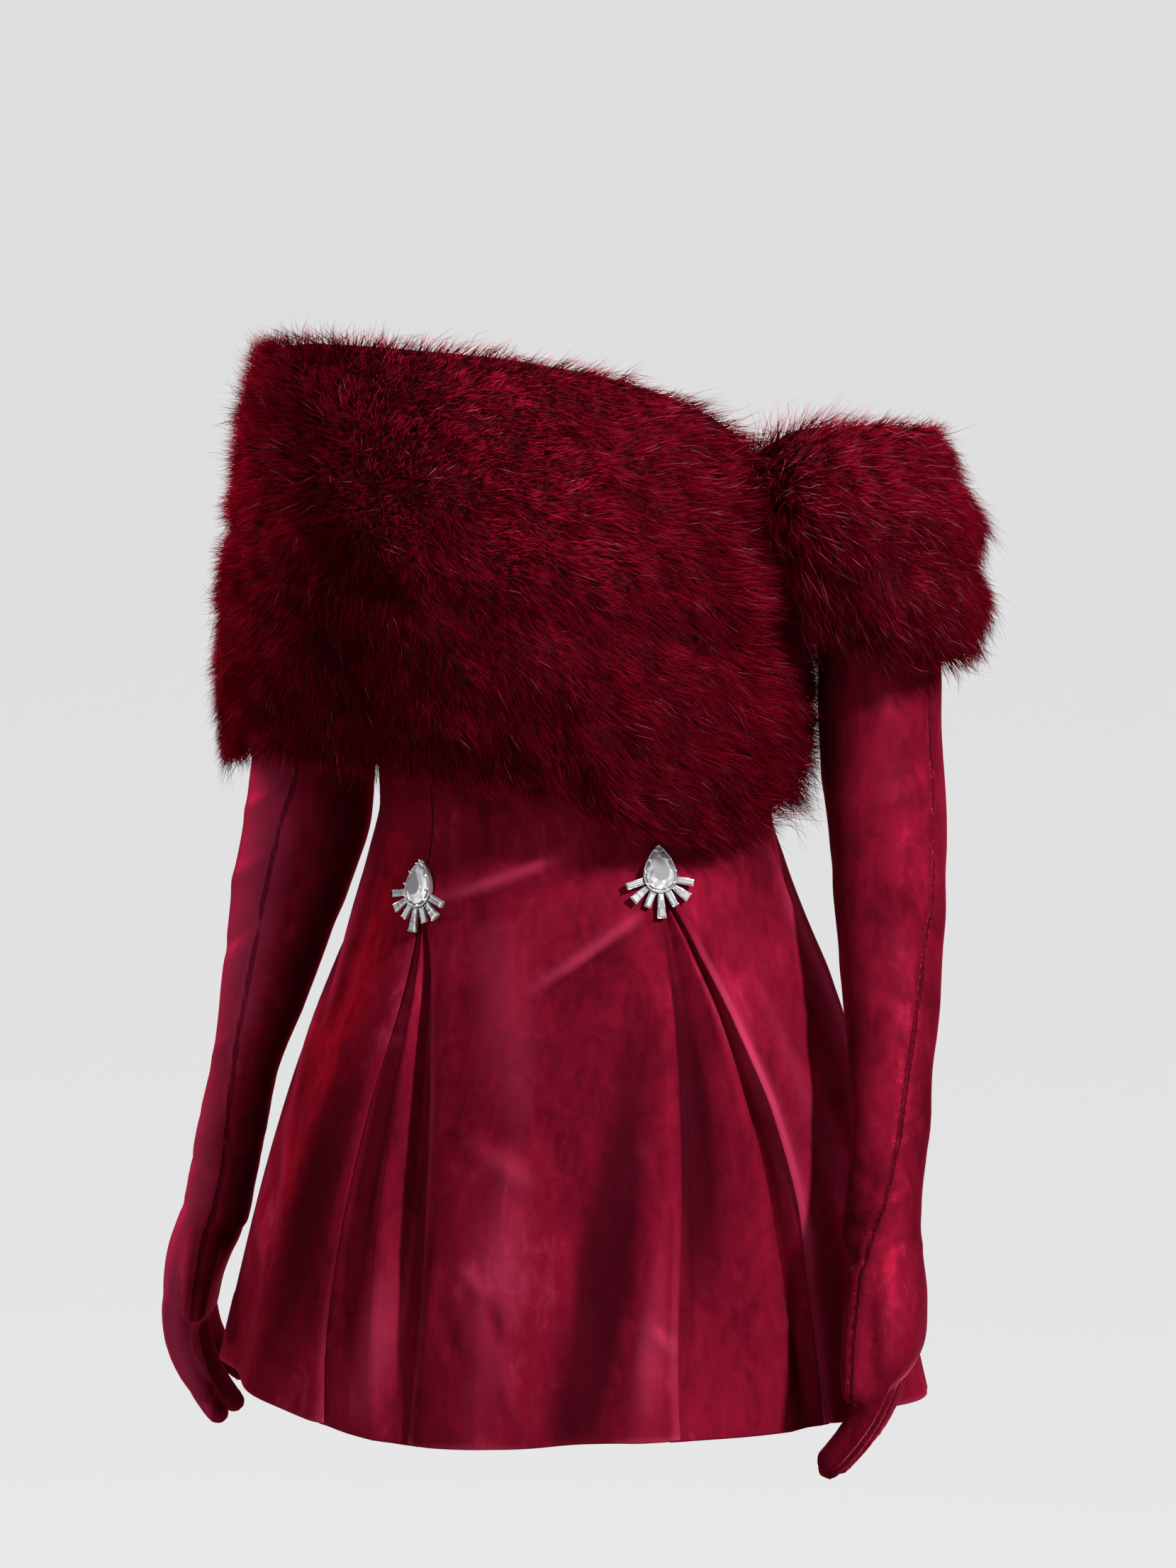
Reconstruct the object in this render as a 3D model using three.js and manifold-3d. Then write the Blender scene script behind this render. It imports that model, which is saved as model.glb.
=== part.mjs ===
// An off-shoulder mini dress in velvet with a wide fur wrap, gloved sleeves and two brooches.
// Millimetres, +Z up. The wearer faces -Y, and the wearer's left side is +X.
// Tables give heights from the waist line, and the finished group is lowered to the bust line.
import * as THREE from 'three';
import Module from 'manifold-3d';

const wasm = await Module();
wasm.setup();

// Driving sizes
const bustHeight = 150;
const cloth = 1.8;
const seamGap = 0.3;
const hemHeight = -346;
const pleatTuck = 5;
const sleeveCloth = 1.6;
const gloveCloth = 1.5;
const furLeast = 0.22;
const underlayRidge = { under: 0.6, fullAt: 12, farShare: 0.6, hemLift: 1.5 };
const brooch = {
  angle: 35,
  halfWidth: 10.4,
  halfHeight: 14.2,
  collar: 4.2,
  floor: 1.2,
  crystalTop: 8.4,
  fanCentre: -4.5,
  armDepth: 3.4,
  armGap: 0.35,
  seatGap: 1,
};

// The worn form: half width, depth in front, depth behind and sideways shift at each height.
const formRows = [
  { z: -360, half: 218, front: 171, back: 163, shift: 0 },
  { z: -340, half: 213, front: 168, back: 160, shift: 0 },
  { z: -240, half: 191, front: 150, back: 145, shift: 1 },
  { z: -166, half: 172, front: 134, back: 130, shift: 3 },
  { z: -105, half: 150, front: 118, back: 112, shift: 4 },
  { z: -62, half: 134, front: 104, back: 97, shift: 2 },
  { z: -30, half: 124, front: 95, back: 87, shift: 1 },
  { z: 0, half: 118, front: 89, back: 81, shift: 0 },
  { z: 50, half: 121, front: 95, back: 82, shift: 0 },
  { z: 100, half: 127, front: 110, back: 86, shift: 0 },
  { z: 140, half: 128, front: 117, back: 88, shift: 0 },
  { z: 200, half: 122, front: 106, back: 84, shift: 0 },
];

// Height of the hem and of the bodice's top edge round the body, from the front centre.
const edgeRows = [
  { angle: -180, hem: -1, top: 150 },
  { angle: -120, hem: -2, top: 132 },
  { angle: -90, hem: -5, top: 104 },
  { angle: -60, hem: 0, top: 148 },
  { angle: -33, hem: -4, top: 176 },
  { angle: -16, hem: -5, top: 180 },
  { angle: 0, hem: 0, top: 180 },
  { angle: 20, hem: 6, top: 178 },
  { angle: 50, hem: 6, top: 162 },
  { angle: 90, hem: 0, top: 104 },
  { angle: 130, hem: -1, top: 136 },
  { angle: 180, hem: -1, top: 150 },
];

// Inverted pleats under the princess seams, as angles from the front centre and a depth.
const pleatRows = {
  left: [
    { z: -350, edge: 28.8, near: 33.2, ridge: 49, far: 53, side: 56, depth: 8 },
    { z: -290, edge: 29.4, near: 33.6, ridge: 50.2, far: 53.8, side: 57, depth: 15 },
    { z: -230, edge: 30.8, near: 34.6, ridge: 50.8, far: 54, side: 57, depth: 21 },
    { z: -166, edge: 32.1, near: 35.4, ridge: 48.6, far: 51.5, side: 54.2, depth: 20 },
    { z: -105, edge: 33.6, near: 36.4, ridge: 45, far: 47, side: 48.6, depth: 14 },
    { z: -62, edge: 34.6, near: 36.6, ridge: 40.6, far: 42, side: 43, depth: 8 },
    { z: -36, edge: 35, near: 35.4, ridge: 36.2, far: 37, side: 37.6, depth: 4 },
    { z: -28, edge: 35, near: 35, ridge: 35, far: 35, side: 35, depth: 3 },
    { z: 200, edge: 35, near: 35, ridge: 35, far: 35, side: 35, depth: 3 },
  ],
  right: [
    { z: -350, edge: 16, near: 19.2, ridge: 22.4, far: 28, side: 33, depth: 7 },
    { z: -290, edge: 16.3, near: 20.4, ridge: 25.2, far: 31, side: 36.2, depth: 12 },
    { z: -230, edge: 17.5, near: 22, ridge: 27.3, far: 32.4, side: 37, depth: 18 },
    { z: -166, edge: 20.2, near: 24, ridge: 28.4, far: 32.6, side: 36.6, depth: 17 },
    { z: -105, edge: 25.6, near: 28, ridge: 30.8, far: 33.2, side: 35.6, depth: 12 },
    { z: -66, edge: 30, near: 31, ridge: 32.6, far: 33.8, side: 35, depth: 7 },
    { z: -50, edge: 33.4, near: 33.6, ridge: 34, far: 34.6, side: 35, depth: 4 },
    { z: -42, edge: 35, near: 35, ridge: 35, far: 35, side: 35, depth: 3 },
    { z: 200, edge: 35, near: 35, ridge: 35, far: 35, side: 35, depth: 3 },
  ],
};
const pleatTop = { left: -26, right: -40 };

// Soft folds of the skirt: where each starts and ends round the body, its width and height.
const foldRows = [
  { waist: 62, hem: 65, width: 4.5, height: 5 },
  { waist: 70, hem: 74, width: 6, height: -4 },
  { waist: 84, hem: 86, width: 7, height: 4 },
  { waist: 0, hem: 5, width: 16, height: 3 },
  { waist: -46, hem: -52, width: 7, height: 4 },
  { waist: -60, hem: -66, width: 7, height: -4 },
  { waist: -76, hem: -80, width: 8, height: 4 },
  { waist: -104, hem: -106, width: 9, height: -5 },
  { waist: -122, hem: -126, width: 9, height: 6 },
  { waist: -144, hem: -146, width: 9, height: -5 },
  { waist: -163, hem: -163, width: 9, height: 5 },
  { waist: 163, hem: 163, width: 9, height: 5 },
  { waist: 143, hem: 145, width: 9, height: -5 },
  { waist: 121, hem: 125, width: 9, height: 6 },
  { waist: 102, hem: 105, width: 9, height: -5 },
];

// Sleeves from the hidden top to the wrist: centre line and radius.
const sleeveRows = {
  right: [
    { z: 115, x: -167.2, y: 28.6, radius: 37.5 },
    { z: 60, x: -167, y: 26, radius: 36.4 },
    { z: 10, x: -169.7, y: 25, radius: 37.4 },
    { z: -24, x: -173.7, y: 24, radius: 38.4 },
    { z: -56, x: -180.5, y: 21, radius: 36.6 },
    { z: -100, x: -191.2, y: 16, radius: 31 },
    { z: -143, x: -201.4, y: 11, radius: 25 },
    { z: -185, x: -211.8, y: 7, radius: 21.2 },
    { z: -221, x: -219, y: 4, radius: 21 },
    { z: -251, x: -224.4, y: 3, radius: 21 },
    { z: -268, x: -228, y: 3, radius: 21.6 },
  ],
  left: [
    { z: 150, x: 173, y: 23, radius: 36 },
    { z: 95, x: 178.6, y: 18, radius: 36.4 },
    { z: 41, x: 181.2, y: 15, radius: 36.4 },
    { z: -9, x: 188.9, y: 2, radius: 35 },
    { z: -50, x: 194.7, y: -16, radius: 32 },
    { z: -97, x: 201, y: -38, radius: 28.4 },
    { z: -134, x: 205.4, y: -58, radius: 25 },
    { z: -165, x: 208.6, y: -74, radius: 22.2 },
    { z: -195, x: 208.4, y: -84, radius: 22.4 },
    { z: -222, x: 207.5, y: -90, radius: 23 },
  ],
};

// Palms from the wrist to the finger roots: centre, half width front to back, half thickness.
const palmRows = {
  right: [
    { z: -268, x: -228, y: 3, broad: 21.6, thick: 21.6 },
    { z: -284, x: -235, y: 6, broad: 28, thick: 21 },
    { z: -302, x: -242, y: 10, broad: 34, thick: 18.5 },
    { z: -322, x: -247, y: 14, broad: 36, thick: 15 },
    { z: -338, x: -248, y: 15, broad: 34, thick: 12 },
    { z: -344, x: -248, y: 15, broad: 25, thick: 7 },
  ],
  left: [
    { z: -222, x: 207.5, y: -90, broad: 23, thick: 23 },
    { z: -240, x: 213, y: -93, broad: 29.5, thick: 20 },
    { z: -262, x: 218.6, y: -96, broad: 35, thick: 16.8 },
    { z: -285, x: 220, y: -98, broad: 36.5, thick: 15 },
    { z: -301, x: 216.6, y: -99, broad: 34, thick: 12 },
    { z: -307, x: 215, y: -99, broad: 25, thick: 7 },
  ],
};

// Fingers, then the thumb: root, bend and tip of each centre line, and its radius at both ends.
const fingerRows = {
  right: [
    { root: [-249, -13, -322], bend: [-253, -12.4, -358], tip: [-231, -12, -380], wide: 9, slim: 7.4 },
    { root: [-249, 5, -324], bend: [-254, 5, -368], tip: [-229, 5, -398], wide: 9, slim: 7.4 },
    { root: [-249, 23, -324], bend: [-253, 26.3, -367], tip: [-226.5, 29, -398], wide: 8.8, slim: 7.2 },
    { root: [-248, 40, -322], bend: [-252, 43.3, -358], tip: [-228, 46, -384], wide: 8, slim: 6.6 },
    { root: [-230, -12, -280], bend: [-231, -26.3, -300], tip: [-229.5, -38, -320], wide: 12, slim: 8 },
  ],
  left: [
    { root: [217, -125, -284], bend: [213, -123.9, -320], tip: [185, -123, -352], wide: 9, slim: 7.4 },
    { root: [218, -108, -286], bend: [213, -107.4, -328], tip: [182, -107, -362], wide: 9, slim: 7.4 },
    { root: [218, -92, -286], bend: [214, -92, -332], tip: [184, -92, -364], wide: 8.8, slim: 7.2 },
    { root: [217, -77, -284], bend: [216, -77.6, -330], tip: [192, -78, -356], wide: 8, slim: 6.6 },
    { root: [205, -110, -240], bend: [202, -123.2, -276], tip: [203, -134, -305], wide: 12.5, slim: 8.4 },
  ],
};

// The wrap round the chest and the right upper arm, seen from its own centre: edges and reach.
const wrapCentre = -33;
const wrapRows = [
  { angle: -180, low: 34, high: 224, reachLow: 99.4, reachMid: 108, reachHigh: 104, fur: 16 },
  { angle: -146, low: 34, high: 230, reachLow: 119, reachMid: 124, reachHigh: 117, fur: 16 },
  { angle: -128, low: 30, high: 238, reachLow: 148, reachMid: 149, reachHigh: 138, fur: 16 },
  { angle: -117, low: 24, high: 247, reachLow: 175, reachMid: 173, reachHigh: 157, fur: 15 },
  { angle: -105, low: 17, high: 255, reachLow: 193, reachMid: 189, reachHigh: 169, fur: 15 },
  { angle: -96, low: 14, high: 262, reachLow: 193.6, reachMid: 189, reachHigh: 171, fur: 16 },
  { angle: -80, low: 22, high: 275, reachLow: 182, reachMid: 181, reachHigh: 168, fur: 18 },
  { angle: -64, low: 34, high: 284, reachLow: 161, reachMid: 167, reachHigh: 158, fur: 18 },
  { angle: -44, low: 36, high: 291, reachLow: 138, reachMid: 152, reachHigh: 145, fur: 18 },
  { angle: -28, low: 36, high: 293, reachLow: 123, reachMid: 143, reachHigh: 134, fur: 18 },
  { angle: -13, low: 34, high: 293, reachLow: 117, reachMid: 139, reachHigh: 128, fur: 18 },
  { angle: 3, low: 34, high: 292, reachLow: 119, reachMid: 140, reachHigh: 128, fur: 18 },
  { angle: 21, low: 30, high: 288, reachLow: 129, reachMid: 148, reachHigh: 137, fur: 18 },
  { angle: 36, low: 22, high: 281, reachLow: 140, reachMid: 158, reachHigh: 150, fur: 18 },
  { angle: 48, low: 12, high: 270, reachLow: 151, reachMid: 166, reachHigh: 161, fur: 18 },
  { angle: 57, low: 7, high: 257, reachLow: 160, reachMid: 172, reachHigh: 169, fur: 18 },
  { angle: 65, low: 6, high: 236, reachLow: 168, reachMid: 177, reachHigh: 175, fur: 17 },
  { angle: 76, low: 12, high: 184, reachLow: 175, reachMid: 178, reachHigh: 177, fur: 15 },
  { angle: 84, low: 20, high: 156, reachLow: 177, reachMid: 178, reachHigh: 176, fur: 12 },
  { angle: 92, low: 34, high: 130, reachLow: 174.6, reachMid: 174.6, reachHigh: 174, fur: 10 },
  { angle: 104, low: 42, high: 140, reachLow: 165, reachMid: 166, reachHigh: 165, fur: 9 },
  { angle: 122, low: 40, high: 172, reachLow: 146, reachMid: 150, reachHigh: 148, fur: 12 },
  { angle: 143, low: 36, high: 203, reachLow: 121, reachMid: 128, reachHigh: 123, fur: 15 },
];
const wrapSeams = { right: -96, left: 92 };
const wrapValley = { start: 166, fall: 0.34, width: 13, depth: 6 };

// The shoulder piece round the left upper arm, from the chest to the back: low, middle and high.
const shoulderRows = [
  { place: 0, lowX: 138, lowY: -20, low: 130, midX: 131, midY: -45, highX: 118, highY: -72, high: 226 },
  { place: 1, lowX: 160, lowY: -52, low: 124, midX: 152, midY: -70, highX: 141, highY: -84, high: 243 },
  { place: 2, lowX: 186, lowY: -58, low: 116, midX: 180, midY: -76, highX: 166, highY: -72, high: 247 },
  { place: 3, lowX: 214, lowY: -46, low: 105, midX: 216, midY: -54, highX: 196, highY: -45, high: 246 },
  { place: 4, lowX: 238, lowY: -16, low: 100, midX: 240, midY: -14, highX: 215, highY: -8, high: 238 },
  { place: 5, lowX: 242, lowY: 24, low: 100, midX: 241, midY: 28, highX: 216, highY: 28, high: 230 },
  { place: 6, lowX: 224, lowY: 60, low: 104, midX: 222, midY: 66, highX: 201, highY: 60, high: 221 },
  { place: 7, lowX: 186, lowY: 78, low: 110, midX: 182, midY: 86, highX: 170, highY: 79, high: 212 },
  { place: 8, lowX: 144, lowY: 74, low: 118, midX: 140, midY: 82, highX: 134, highY: 78, high: 195 },
  { place: 9, lowX: 104, lowY: 59, low: 128, midX: 103, midY: 62, highX: 101, highY: 63, high: 164 },
];
const shoulderFur = 20;
const shoulderFold = { height: 3.4, count: 2.5 };

// Brooch arms: turn from straight down, outer end and widths, alternating plain and tapered.
const armRows = [
  { name: 'baguette_1', turn: -76, end: 20.6, inside: 4, outside: 4 },
  { name: 'taper_1', turn: -51, end: 21.4, inside: 3.2, outside: 5.6 },
  { name: 'baguette_2', turn: -26, end: 19.6, inside: 4, outside: 4 },
  { name: 'taper_2', turn: 0, end: 24.4, inside: 3.2, outside: 5.6 },
  { name: 'baguette_3', turn: 26, end: 19.6, inside: 4, outside: 4 },
  { name: 'taper_3', turn: 51, end: 21.4, inside: 3.2, outside: 5.6 },
  { name: 'baguette_4', turn: 76, end: 20.6, inside: 4, outside: 4 },
];
const broochHeight = { left: -17, right: -34 };

const degree = Math.PI / 180;

const velvet = new THREE.MeshStandardMaterial({ color: 0x7d122a, roughness: 0.7, metalness: 0 });
const fur = new THREE.MeshStandardMaterial({ color: 0x5f0519, roughness: 0.95, metalness: 0 });
const tape = new THREE.MeshStandardMaterial({ color: 0x5a0e20, roughness: 0.6, metalness: 0 });
const silver = new THREE.MeshStandardMaterial({ color: 0xd0d2d6, roughness: 0.2, metalness: 1 });
const stone = new THREE.MeshStandardMaterial({ color: 0xf2f4f8, roughness: 0.05, metalness: 0 });

const dress = new THREE.Group();
dress.position.z = -bustHeight;

function mix(a, b, share) {
  return a + (b - a) * share;
}

// A smooth line through one column of a table, with no overshoot between its rows.
function curveOf(table, key, column) {
  const rows = [...table].sort((a, b) => a[key] - b[key]);
  const last = rows.length - 1;
  const rise = (i) => (rows[i + 1][column] - rows[i][column]) / (rows[i + 1][key] - rows[i][key]);
  const slopes = rows.map((row, i) => {
    if (i === 0) return rise(0);
    if (i === last) return rise(last - 1);
    const before = rise(i - 1);
    const after = rise(i);
    return before * after <= 0 ? 0 : (2 * before * after) / (before + after);
  });
  return (value) => {
    if (value <= rows[0][key]) return rows[0][column];
    if (value >= rows[last][key]) return rows[last][column];
    let i = 0;
    while (rows[i + 1][key] < value) i += 1;
    const span = rows[i + 1][key] - rows[i][key];
    const t = (value - rows[i][key]) / span;
    const t2 = t * t;
    const t3 = t2 * t;
    return (2 * t3 - 3 * t2 + 1) * rows[i][column] + (t3 - 2 * t2 + t) * span * slopes[i]
      + (3 * t2 - 2 * t3) * rows[i + 1][column] + (t3 - t2) * span * slopes[i + 1];
  };
}

// The same for a table that goes once round in degrees.
function curveRound(table, column) {
  const turns = [-360, 0, 360];
  const rows = turns.flatMap((turn) => table.map((row) => ({ ...row, angle: row.angle + turn })));
  return curveOf(rows, 'angle', column);
}

function curves(table, key, columns) {
  return Object.fromEntries(columns.map((name) => [name, curveOf(table, key, name)]));
}

const form = curves(formRows, 'z', ['half', 'front', 'back', 'shift']);
const edge = curves(edgeRows, 'angle', ['hem', 'top']);
const pleatColumns = ['edge', 'near', 'ridge', 'far', 'side', 'depth'];
const pleat = {
  left: curves(pleatRows.left, 'z', pleatColumns),
  right: curves(pleatRows.right, 'z', pleatColumns),
};

function foldAt(angle, z) {
  const down = THREE.MathUtils.clamp(-z / -hemHeight, 0, 1);
  const ramp = down * Math.sqrt(down);
  let height = 0;
  for (const fold of foldRows) {
    const away = (angle - mix(fold.waist, fold.hem, down)) / fold.width;
    height += fold.height * Math.exp(-away * away);
  }
  return height * ramp;
}

// A point of the worn form, moved out by a distance square to it in plan.
function onForm(angle, z, out) {
  const t = angle * degree;
  const half = form.half(z);
  const depth = Math.cos(t) > 0 ? form.front(z) : form.back(z);
  const away = new THREE.Vector2(Math.sin(t) / half, -Math.cos(t) / depth).normalize();
  const reach = out + foldAt(angle, z);
  const x = form.shift(z) + half * Math.sin(t) + away.x * reach;
  const y = -depth * Math.cos(t) + away.y * reach;
  return new THREE.Vector3(x, y, z);
}

function triangles(points, faces) {
  const geometry = new THREE.BufferGeometry();
  geometry.setAttribute('position', new THREE.Float32BufferAttribute(points.flatMap((p) => p.toArray()), 3));
  geometry.setIndex(faces);
  geometry.computeVertexNormals();
  return geometry;
}

// Turns every face round where the closed mesh is inside out.
function facingOut(points, faces) {
  let volume = 0;
  for (let i = 0; i < faces.length; i += 3) {
    const [a, b, c] = faces.slice(i, i + 3).map((k) => points[k]);
    volume += a.dot(new THREE.Vector3().crossVectors(b, c));
  }
  if (volume > 0) return faces;
  const turned = [];
  for (let i = 0; i < faces.length; i += 3) turned.push(faces[i], faces[i + 2], faces[i + 1]);
  return turned;
}

// A closed wall on a grid of surface points: both skins lie level inside the surface, at the
// outer and inner inset. The surface reads on past its ends, so walls that meet share normals.
function wall(across, up, round, surfaceAt, insetAt) {
  const columns = round ? across : across + 1;
  const near = 0.004;
  const points = [];
  for (const skin of [0, 1]) {
    for (let j = 0; j <= up; j += 1) {
      for (let i = 0; i < columns; i += 1) {
        const u = i / across;
        const v = j / up;
        const along = surfaceAt(u + near, v).sub(surfaceAt(u - near, v));
        const outward = new THREE.Vector3(along.y, -along.x, 0).normalize();
        points.push(surfaceAt(u, v).addScaledVector(outward, -insetAt(u, v)[skin]));
      }
    }
  }
  const size = columns * (up + 1);
  const id = (skin, i, j) => skin * size + j * columns + (i % columns);
  const faces = [];
  const quad = (a, b, c, d) => faces.push(a, b, c, a, c, d);
  for (let j = 0; j < up; j += 1) {
    for (let i = 0; i < across; i += 1) {
      quad(id(0, i, j), id(0, i + 1, j), id(0, i + 1, j + 1), id(0, i, j + 1));
      quad(id(1, i, j), id(1, i, j + 1), id(1, i + 1, j + 1), id(1, i + 1, j));
    }
    if (!round) {
      quad(id(0, 0, j), id(0, 0, j + 1), id(1, 0, j + 1), id(1, 0, j));
      quad(id(0, across, j), id(1, across, j), id(1, across, j + 1), id(0, across, j + 1));
    }
  }
  for (let i = 0; i < across; i += 1) {
    quad(id(0, i, 0), id(1, i, 0), id(1, i + 1, 0), id(0, i + 1, 0));
    quad(id(0, i, up), id(0, i + 1, up), id(1, i + 1, up), id(1, i, up));
  }
  return triangles(points, facingOut(points, faces));
}

// A solid through rings of points, closed by a flat fan at each end.
function stack(rings) {
  const count = rings[0].length;
  const points = rings.flat();
  const faces = [];
  for (let j = 0; j + 1 < rings.length; j += 1) {
    for (let i = 0; i < count; i += 1) {
      const next = (i + 1) % count;
      const a = j * count + i;
      const b = j * count + next;
      faces.push(a, b, b + count, a, b + count, a + count);
    }
  }
  for (const [start, turn] of [[0, 1], [(rings.length - 1) * count, -1]]) {
    const middle = new THREE.Vector3();
    for (let i = 0; i < count; i += 1) middle.addScaledVector(points[start + i], 1 / count);
    points.push(middle);
    for (let i = 0; i < count; i += 1) {
      const a = start + i;
      const b = start + ((i + 1) % count);
      if (turn > 0) faces.push(points.length - 1, b, a);
      else faces.push(points.length - 1, a, b);
    }
  }
  return triangles(points, facingOut(points, faces));
}

function solidOf(geometry) {
  return new wasm.Manifold(new wasm.Mesh({
    numProp: 3,
    vertProperties: new Float32Array(geometry.attributes.position.array),
    triVerts: new Uint32Array(geometry.index.array),
  }));
}

function geometryOf(solid) {
  const mesh = solid.getMesh();
  const points = [];
  for (let i = 0; i < mesh.vertProperties.length; i += mesh.numProp) {
    points.push(new THREE.Vector3(...mesh.vertProperties.slice(i, i + 3)));
  }
  return triangles(points, [...mesh.triVerts]);
}

function add(name, geometry, material, group = dress) {
  const mesh = new THREE.Mesh(geometry, material);
  mesh.name = name;
  group.add(mesh);
  return mesh;
}

// One cut panel of bodice and skirt between two edges, given as angles at each height.
function panel(name, across, up, fromEdge, toEdge) {
  const surfaceAt = (u, v) => {
    const hemAngle = mix(fromEdge(hemHeight), toEdge(hemHeight), u);
    const topAngle = mix(fromEdge(bustHeight), toEdge(bustHeight), u);
    const z = mix(hemHeight + edge.hem(hemAngle), edge.top(topAngle), v);
    const inset = (0.55 * seamGap) / (form.front(z) * degree);
    return onForm(mix(fromEdge(z) + inset, toEdge(z) - inset, u), z, 0);
  };
  add(name, wall(across, up, false, surfaceAt, () => [0, cloth]), velvet);
}

panel('front_centre', 12, 20, (z) => -pleat.right.edge(z), pleat.left.edge);
panel('side_front_left', 9, 20, pleat.left.side, () => 90);
panel('side_front_right', 10, 20, () => -90, (z) => -pleat.right.side(z));
panel('back_left', 14, 13, () => 90, () => 180);
panel('back_right', 14, 13, () => -180, () => -90);

// The folded cloth behind each pleat, tucked behind both edges.
function underlay(name, side, sign) {
  const shape = pleat[side];
  const behind = cloth + seamGap;
  const stations = 6;
  const surfaceAt = (u, v) => {
    const share = sign > 0 ? u : 1 - u;
    const hemMiddle = sign * (shape.edge(hemHeight) + shape.side(hemHeight)) / 2;
    const z = mix(hemHeight + edge.hem(hemMiddle) + underlayRidge.hemLift, pleatTop[side], v);
    const tuck = pleatTuck / (form.front(z) * degree);
    const sharpness = Math.min(1, shape.depth(z) / underlayRidge.fullAt);
    const marks = [
      [shape.edge(z) - tuck, behind],
      [shape.edge(z), behind],
      [shape.near(z), Math.max(shape.depth(z), behind)],
      [shape.ridge(z), mix(behind, underlayRidge.under, sharpness)],
      [shape.far(z), Math.max(shape.depth(z) * underlayRidge.farShare, behind)],
      [shape.side(z), behind],
      [shape.side(z) + tuck, behind],
    ];
    const place = share * stations;
    const i = THREE.MathUtils.clamp(Math.floor(place), 0, stations - 1);
    const angle = mix(marks[i][0], marks[i + 1][0], place - i);
    const depth = mix(marks[i][1], marks[i + 1][1], place - i);
    return onForm(sign * angle, z, -depth);
  };
  add(name, wall(12, 11, false, surfaceAt, () => [0, cloth]), velvet);
}

underlay('pleat_underlay_left', 'left', 1);
underlay('pleat_underlay_right', 'right', -1);

// A concealed zip tape behind the centre back seam.
const zip = { low: -120, high: 128, half: 9, cloth: 1.2 };
add('back_zip', wall(2, 9, false, (u, v) => {
  const z = mix(zip.low, zip.high, v);
  const angle = mix(-zip.half, zip.half, u) / (form.back(z) * degree);
  return onForm(180 + angle, z, -cloth - 3 * seamGap);
}, () => [0, zip.cloth]), tape);

// Sleeves: open tubes square to their centre lines.
function centreLine(table) {
  const line = curves(table, 'z', ['x', 'y', 'radius']);
  return (z) => new THREE.Vector3(line.x(z), line.y(z), z);
}

function sleeve(name, table) {
  const centre = centreLine(table);
  const radius = curveOf(table, 'z', 'radius');
  const high = table[0].z;
  const low = table[table.length - 1].z;
  const surfaceAt = (u, v) => {
    const z = mix(low, high, v);
    const turn = u * Math.PI * 2;
    return new THREE.Vector3(Math.cos(turn), Math.sin(turn), 0).multiplyScalar(radius(z)).add(centre(z));
  };
  add(name, wall(16, 14, true, surfaceAt, () => [0, sleeveCloth]), velvet);
}

sleeve('sleeve_right', sleeveRows.right);
sleeve('sleeve_left', sleeveRows.left);

// A palm through level ovals; the lowest rows close it.
function palmSolid(rows, less, lift) {
  const shape = curves(rows, 'z', ['x', 'y', 'broad', 'thick']);
  const high = rows[0].z;
  const low = rows[rows.length - 1].z;
  const steps = 7;
  const sides = 16;
  const rings = [];
  for (let j = 0; j <= steps; j += 1) {
    const z = mix(low + less, high, j / steps);
    const ring = [];
    for (let i = 0; i < sides; i += 1) {
      const turn = (i / sides) * Math.PI * 2;
      const x = shape.x(z) + (shape.thick(z) - less) * Math.cos(turn);
      const y = shape.y(z) + (shape.broad(z) - less) * Math.sin(turn);
      ring.push(new THREE.Vector3(x, y, z));
    }
    rings.push(ring);
  }
  if (lift > 0) rings.push(rings[steps].map((p) => p.clone().setZ(high + lift)));
  return solidOf(stack(rings));
}

// A finger as a bent tapering tube with a round tip.
function fingerSolid(row, less) {
  const line = new THREE.QuadraticBezierCurve3(
    new THREE.Vector3(...row.root),
    new THREE.Vector3(...row.bend),
    new THREE.Vector3(...row.tip),
  );
  const sides = 8;
  const steps = 5;
  const rings = [];
  const ringAt = (centre, along, radius) => {
    const front = new THREE.Vector3(0, 1, 0);
    const wide = new THREE.Vector3().crossVectors(along, front).normalize();
    const deep = new THREE.Vector3().crossVectors(along, wide).normalize();
    const ring = [];
    for (let i = 0; i < sides; i += 1) {
      const turn = (i / sides) * Math.PI * 2;
      const point = centre.clone().addScaledVector(wide, radius * Math.cos(turn));
      ring.push(point.addScaledVector(deep, radius * Math.sin(turn)));
    }
    return ring;
  };
  for (let j = 0; j <= steps; j += 1) {
    const share = j / steps;
    const radius = mix(row.wide, row.slim, share) - less;
    rings.push(ringAt(line.getPoint(share), line.getTangent(share), radius));
  }
  const tip = line.getPoint(1);
  const ahead = line.getTangent(1);
  const reach = row.slim - less;
  for (const lean of [40, 75]) {
    const centre = tip.clone().addScaledVector(ahead, reach * Math.sin(lean * degree));
    rings.push(ringAt(centre, ahead, reach * Math.cos(lean * degree)));
  }
  return solidOf(stack(rings));
}

function glove(name, side) {
  const skin = (less, lift) => fingerRows[side].reduce(
    (whole, row) => whole.add(fingerSolid(row, less)),
    palmSolid(palmRows[side], less, lift),
  );
  const hand = skin(0, 0).subtract(skin(gloveCloth, 12));
  const geometry = geometryOf(hand);
  geometry.translate(0, 0, -seamGap);
  add(name, geometry, velvet);
}

glove('glove_right', 'right');
glove('glove_left', 'left');

// Fur pieces are thick walls with rounded edges.
function furInsets(thickness, v) {
  const away = Math.abs(2 * v - 1);
  const fullness = Math.max(furLeast, Math.sqrt(1 - away ** 4));
  return [(thickness / 2) * (1 - fullness), (thickness / 2) * (1 + fullness)];
}

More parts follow.
